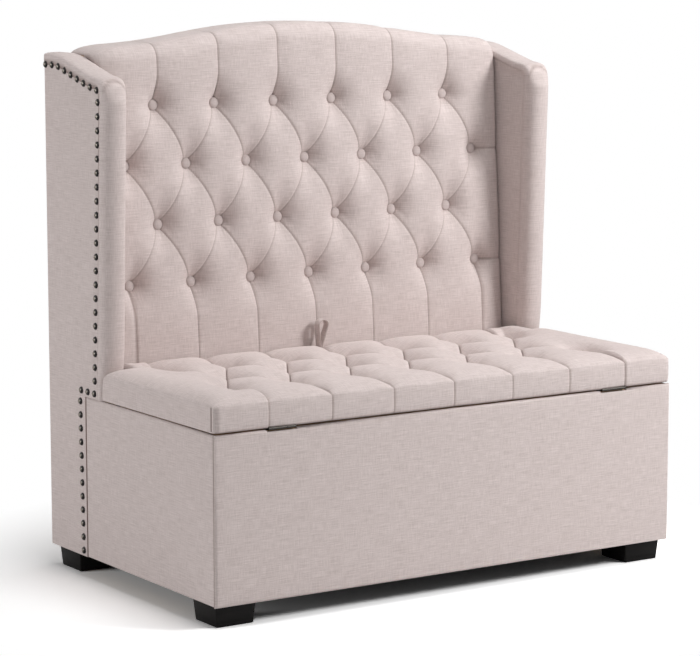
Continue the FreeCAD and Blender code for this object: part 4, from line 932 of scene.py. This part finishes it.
# Lid cushion: the seat, foam under linen on the lid's board. Three rows of
# sewn pulls fold it into diamonds, with straight pleats over the front edge,
# and the cloth is folded and tucked at the front corners.
LID_UNDER, LID_EDGE, LID_CROWN, LID_ROUND, LID_SIDE_ROUND = 0.386, 0.434, 0.020, 0.060, 0.042
LID_REAR, LID_SHOULDER, TONGUE_HALF, LID_ARRIS, LID_SQUEEZE = 0.170, 0.108, 0.500, 0.010, 0.060
SEAT_PITCH, SEAT_ROW, SEAT_FRONT_ROW = 0.146, 0.128, -0.190
SEAT_DEEP, SEAT_PLEAT, SEAT_CELLS, SEAT_AHEAD, SEAT_BEHIND = 0.041, 0.70, 26, 29, 20
PLEAT_IN, PLEAT_SEAM, PLEAT_DOWN = 0.0018, 0.0014, 0.0015
PULL_FLAT, PULL_SOFT = 0.006, 0.064


def seat_stand(across, along):
    """The seat's stand and how far it is from a fold, in pitches from the front row's middle."""
    one, two, past, out, *_ = off_folds(across, along, 1, SEAT_PITCH, SEAT_ROW, PULL_FLAT, PULL_SOFT)
    low = min(one, two)
    if out:
        low = 1 if past else max(low, rise(out * 5))
    stand = puff(one, two, SEAT_PLEAT, 0.84, 0.45)
    away = max(rise(past * 2.6), rise(out * 3.5))
    stand += (1 - stand) * away * (SEAT_PLEAT + (1 - SEAT_PLEAT) * low ** 0.8)
    return stand, low


def seat_share(across, place, rear):
    """How far the seat has risen from its edges, from 0 to 1."""
    share = 1
    for distance, reach in ((place - FRONT, LID_ROUND), (rear - place, LID_ROUND),
                            (HALF - abs(across), LID_SIDE_ROUND)):
        near_share = 1 - min(max(distance, 0) / reach, 1)
        share *= math.sqrt(max(1 - near_share ** 2.2, 0))
    return share


def seat_height(across, place, rear):
    """The height of the seat's top, and whether a fold is sewn there."""
    stand, low = seat_stand(across / SEAT_PITCH, (place - SEAT_FRONT_ROW) / (2 * SEAT_ROW))
    share = seat_share(across, place, rear)
    # Sewn pleat lines are marked for painted shade, and sink a little.
    sewn = 1 if low < 0.01 and abs(across) < 3.2 * SEAT_PITCH else 0
    return LID_EDGE + LID_CROWN * share - SEAT_DEEP * (1 - stand) * share - PLEAT_DOWN * sewn, sewn


seat_step_x, seat_step_y = SEAT_PITCH / (2 * SEAT_CELLS), SEAT_ROW / SEAT_CELLS
SEAT_WIDE = int(0.556 / seat_step_x)
seat_rows = [("low", 0), ("front", 0.1), ("front", 0.35), ("front", 0.6), ("front", 0.85)]
seat_rows += [("edge", step / 3) for step in range(3)]
seat_rows += [("top", SEAT_FRONT_ROW - seat_step_y * step) for step in range(SEAT_AHEAD, 0, -1)]
seat_rows += [("top", SEAT_FRONT_ROW + seat_step_y * step) for step in range(2 * SEAT_CELLS + 1)]
seat_rows += [("top", SEAT_FRONT_ROW + 2 * SEAT_ROW + seat_step_y * step) for step in range(1, SEAT_BEHIND)]
seat_rows += [("back", step / 4) for step in range(5)]
seat_rows += [("under", 1), ("low", 0)]


def seat_place(column, row):
    """A point of the lid's cushion by its column across and its row round the section."""
    number = column - SEAT_WIDE - 4
    side_step = max(abs(number) - SEAT_WIDE, 0)
    flat_x, across = SEAT_WIDE * seat_step_x, number * seat_step_x
    if side_step:
        across = math.copysign(flat_x + (HALF - flat_x) * math.sin(math.pi / 2 * side_step / 4), number)
    rear = LID_REAR if abs(across) < TONGUE_HALF - 0.001 else LID_SHOULDER - 0.0005
    kind, amount = seat_rows[row]
    if kind == "under":
        return Vector((across, rear - 0.001, LID_UNDER)), 0
    if kind == "top":
        limit = rear - LID_ARRIS
        if amount > LID_SQUEEZE:
            squeeze = (limit - LID_SQUEEZE) / (LID_REAR - LID_ARRIS - LID_SQUEEZE)
            amount = LID_SQUEEZE + (amount - LID_SQUEEZE) * squeeze
        place = min(amount, limit)
        height, sewn = seat_height(across, place, rear)
        return Vector((across, place, height)), sewn
    if kind == "back":
        height, turn = seat_height(across, rear - LID_ARRIS, rear)[0], math.pi / 2 * amount
        low_z = LID_UNDER + LID_ARRIS
        return Vector((across, rear - LID_ARRIS + 0.0098 * math.sin(turn),
                       low_z + (height - low_z) * abs(math.cos(turn)) ** 0.8)), 0
    low = seat_stand(across / SEAT_PITCH, -0.5)[1]
    pleated = abs(across) < 3.2 * SEAT_PITCH
    # Painted shade along the pleats over the front edge; the bottom row, where the lid meets the box, is
    # painted in shade too.
    fold = 0.7 if low < 0.01 and pleated else 0
    front_y = FRONT + 0.0006 + PLEAT_SEAM * fold + (PLEAT_IN * (1 - low ** 0.6) if pleated else 0)
    corner_in = 0.008 * max(0, (abs(across) - 0.548) / 0.012) ** 2
    if kind == "low":
        return Vector((across, front_y + corner_in + 0.002, LID_UNDER)), 0 if side_step else 0.6
    if kind == "front":
        swell = 0.0012 * math.sin(math.pi * amount)
        return Vector((across, front_y + corner_in - swell,
                       LID_UNDER + (LID_EDGE - LID_UNDER) * amount)), fold
    place = FRONT + 0.0006 + 0.010 * amount ** 2
    return Vector((across, max(place, front_y) + corner_in, seat_height(across, place, rear)[0])), fold


def seat_held(column, row):
    """Whether a point of the seat lies on its front or side face or under it."""
    return seat_rows[row][0] not in ("top", "edge") or abs(column - SEAT_WIDE - 4) > SEAT_WIDE


seat_linen = closed(swollen_grid(2 * (SEAT_WIDE + 4), len(seat_rows) - 1, seat_place,
                                 (SEAT_WIDE % 2, (SEAT_AHEAD + 8) % 2), 2, seat_held))
part_folds(seat_linen)
lay_cloth(seat_linen, (1, 1, 1.6))
seat_pad = add_padded("tufted_seat", seat_linen, "lid_cushion", body="lid")
for side in (-1, 1):
    tuck_x = sorted((side * (HALF + 0.001), side * (HALF - 0.006)))
    carve(seat_pad, (tuck_x[0], FRONT + 0.012, LID_UNDER + 0.002),
          (tuck_x[1], FRONT + 0.0162, LID_EDGE + 0.001))

# Pull loop: a strap of the same linen, folded double and stitched, sewn down
# at its neck near the seat's rear edge, and open above for a finger.
LOOP_FRONT_Y, LOOP_WIDE, LOOP_STRAP = 0.137, 0.020, 0.0032
LOOP_FOOT, LOOP_NECK, LOOP_RISE, LOOP_LEAN, LOOP_RADIUS = 0.402, 0.446, 0.047, 0.006, 0.0118
LOOP_ASIDE = -0.010
loop_centre = Vector((LOOP_LEAN, 0, LOOP_NECK + LOOP_RISE))
loop_line = [Vector((-LOOP_STRAP / 2, 0, LOOP_FOOT)), Vector((-LOOP_STRAP / 2, 0, LOOP_NECK))]
for step in range(15):
    turn = math.pi * step / 14
    loop_line.append(loop_centre + LOOP_RADIUS * Vector((-math.cos(turn), 0, math.sin(turn))))
loop_line += [Vector((LOOP_STRAP / 2, 0, LOOP_NECK)), Vector((LOOP_STRAP / 2, 0, LOOP_FOOT))]
loop_stations = evenly(loop_line, 0.002)
STRAP_SECTION = [(-1, -1), (0, -1.1), (1, -1), (1.06, 0),
                 (1, 1), (0, 1.1), (-1, 1), (-1.06, 0), (-1, -1)]


def loop_place(column, row):
    """A point of the strap: along the loop and round the strap's edges."""
    point, ahead = loop_stations[column]
    outward = Vector((-ahead.z, 0, ahead.x))
    out, across = STRAP_SECTION[row]
    open_share = rise((point.z - LOOP_NECK) / LOOP_RISE)
    thin = LOOP_STRAP / 2 * (0.86 - 0.1 * open_share)
    aside = Vector((LOOP_ASIDE, LOOP_FRONT_Y + LOOP_WIDE / 2 + across * LOOP_WIDE / 2.25, 0))
    # The strap's folded edges are marked for painted shade.
    return point + outward * out * thin + aside, 0.8 if abs(across) > 1.05 else 0


loop_linen = closed(mapped_grid(len(loop_stations) - 1, len(STRAP_SECTION) - 1, loop_place))
lay_cloth(loop_linen)
loop_piece = add_piece("pull_strap", loop_linen, linen, "lid", "pull_loop")

# Rest pads: four small rubber squares on the side boards, which the closed
# lid sits on.
rubber = clouded_finish("pad_rubber", (500, 500, 500), 2, (38, 38, 38), (62, 61, 60), 0.8)
finish_node("rest_pads", rubber)

# Hinges: two steel butt hinges in the gap at the front, each with two leaves
# and a pin, screwed to the box's edge and under the lid. Their finish is
# painted near-black for the shade in the gap.
steel = clouded_finish("hinge_steel", (60, 900, 900), 3, (48, 46, 44), (84, 80, 76), 0.3, 0.25, metallic=1)
for side in ("left", "right"):
    for hinge_part in ("hinge_box_leaf", "hinge_lid_leaf", "hinge_pin"):
        finish_node(f"{hinge_part}_{side}", steel)

# Gas struts: a black lacquered tube on a stud in the box and a chromed rod
# on a stud under the lid, one at each side, that hold the lid up.
lacquer = clouded_finish("strut_lacquer", (260, 260, 260), 3, (22, 22, 23), (40, 40, 41), 0.25, 0.25)
chrome = clouded_finish("rod_chrome", (200, 40, 40), 2, (214, 214, 212), (214, 214, 212), 0.06, 0.12,
                        metallic=1)
for side in ("left", "right"):
    for strut_part in ("strut_box_bracket", "strut_lid_bracket", "strut_tube"):
        finish_node(f"{strut_part}_{side}", lacquer)
    finish_node(f"strut_rod_{side}", chrome)

# Studio: a white floor that runs out of the picture, soft light from the
# front right and above, and a weaker fill from the left.
floor_shape = bmesh.new()
bmesh.ops.create_grid(floor_shape, x_segments=1, y_segments=1, size=30)
studio_floor = placed("studio_floor", as_mesh("studio_floor", floor_shape))
paper, paper_tree, paper_shader = new_finish("studio_paper")
studio_floor.data.materials.append(paper)
paper_tree.nodes.remove(paper_shader)
seen = add_node(paper_tree, "BsdfDiffuse", Color=(1.6, 1.6, 1.6, 1))
far_white = add_node(paper_tree, "Emission", Color=(1, 1, 1, 1), Strength=1)
paper_place = add_node(paper_tree, "TexCoord").outputs["Object"]
paper_reach = add_node(paper_tree, "VectorMath", {"operation": "LENGTH"})
paper_tree.links.new(paper_place, paper_reach.inputs[0])
far_share = computed(paper_tree, "MULTIPLY_ADD", paper_reach.outputs["Value"], 3.2, -2.1)
far_share.node.use_clamp = True
fading = add_node(paper_tree, "MixShader")
paper_tree.links.new(far_share, fading.inputs["Fac"])
paper_tree.links.new(seen.outputs["BSDF"], fading.inputs[1])
paper_tree.links.new(far_white.outputs["Emission"], fading.inputs[2])
lit = add_node(paper_tree, "BsdfDiffuse", Color=(0.8, 0.8, 0.8, 1))
light_path = add_node(paper_tree, "LightPath")
either = add_node(paper_tree, "MixShader")
paper_tree.links.new(light_path.outputs["Is Camera Ray"], either.inputs["Fac"])
paper_tree.links.new(lit.outputs["BSDF"], either.inputs[1])
paper_tree.links.new(fading.outputs["Shader"], either.inputs[2])
paper_tree.links.new(either.outputs["Shader"], paper_tree.nodes["Material Output"].inputs["Surface"])


def add_lamp(name, place, aim, size, power):
    """A square soft lamp that looks at a point."""
    lamp = bpy.data.lights.new(name, "AREA")
    lamp.shape, lamp.size, lamp.energy = "SQUARE", size, power
    fitting = placed(name, lamp)
    fitting.location = place
    fitting.rotation_euler = (Vector(aim) - Vector(place)).to_track_quat("-Z", "Y").to_euler()


add_lamp("key_lamp", (2.05, -2.3, 2.3), (0, 0, 0.55), 1.1, 92)
add_lamp("top_lamp", (0.1, -0.35, 3.8), (0, 0, 0.4), 2.0, 58)
add_lamp("fill_lamp", (-4.2, 1.2, 1.0), (0, 0, 0.6), 1.6, 66)

world = bpy.data.worlds.new("studio_air")
bpy.context.scene.world = world
world.use_nodes = True
air = world.node_tree
sky = air.nodes["Background"]
sky_path = add_node(air, "LightPath")
plain = computed(air, "MAXIMUM", sky_path.outputs["Is Camera Ray"], sky_path.outputs["Is Glossy Ray"])
plain = computed(air, "MAXIMUM", plain, sky_path.outputs["Is Transmission Ray"])
air.links.new(blended(air, plain, (0.14, 0.14, 0.14, 1), (1, 1, 1, 1)), sky.inputs["Color"])
sky.inputs["Strength"].default_value = 1

# Camera: at the photograph's place, six metres off and a little above the
# crest, with a long lens.
CAMERA_PLACE = (-3.1635, -4.7971, 1.3416)
AZIMUTH, ELEVATION, ROLL = math.radians(-33.176), math.radians(8.296), -0.00037
camera = bpy.data.cameras.new("camera")
camera.lens, camera.sensor_width, camera.sensor_fit = 141.52, 36, "HORIZONTAL"
stand = placed("camera", camera)
level = math.cos(ELEVATION)
backward = Vector((math.sin(AZIMUTH) * level, -math.cos(AZIMUTH) * level, math.sin(ELEVATION)))
right = (-backward).cross(Vector((0, 0, 1))).normalized()
upward = right.cross(-backward)
tilted_right = math.cos(ROLL) * right + math.sin(ROLL) * upward
tilted_up = -math.sin(ROLL) * right + math.cos(ROLL) * upward
turned = Matrix((tilted_right, tilted_up, backward)).transposed().to_4x4()
stand.matrix_world = Matrix.Translation(CAMERA_PLACE) @ turned
bpy.context.scene.camera = stand
bpy.context.scene.view_settings.view_transform = "Standard"
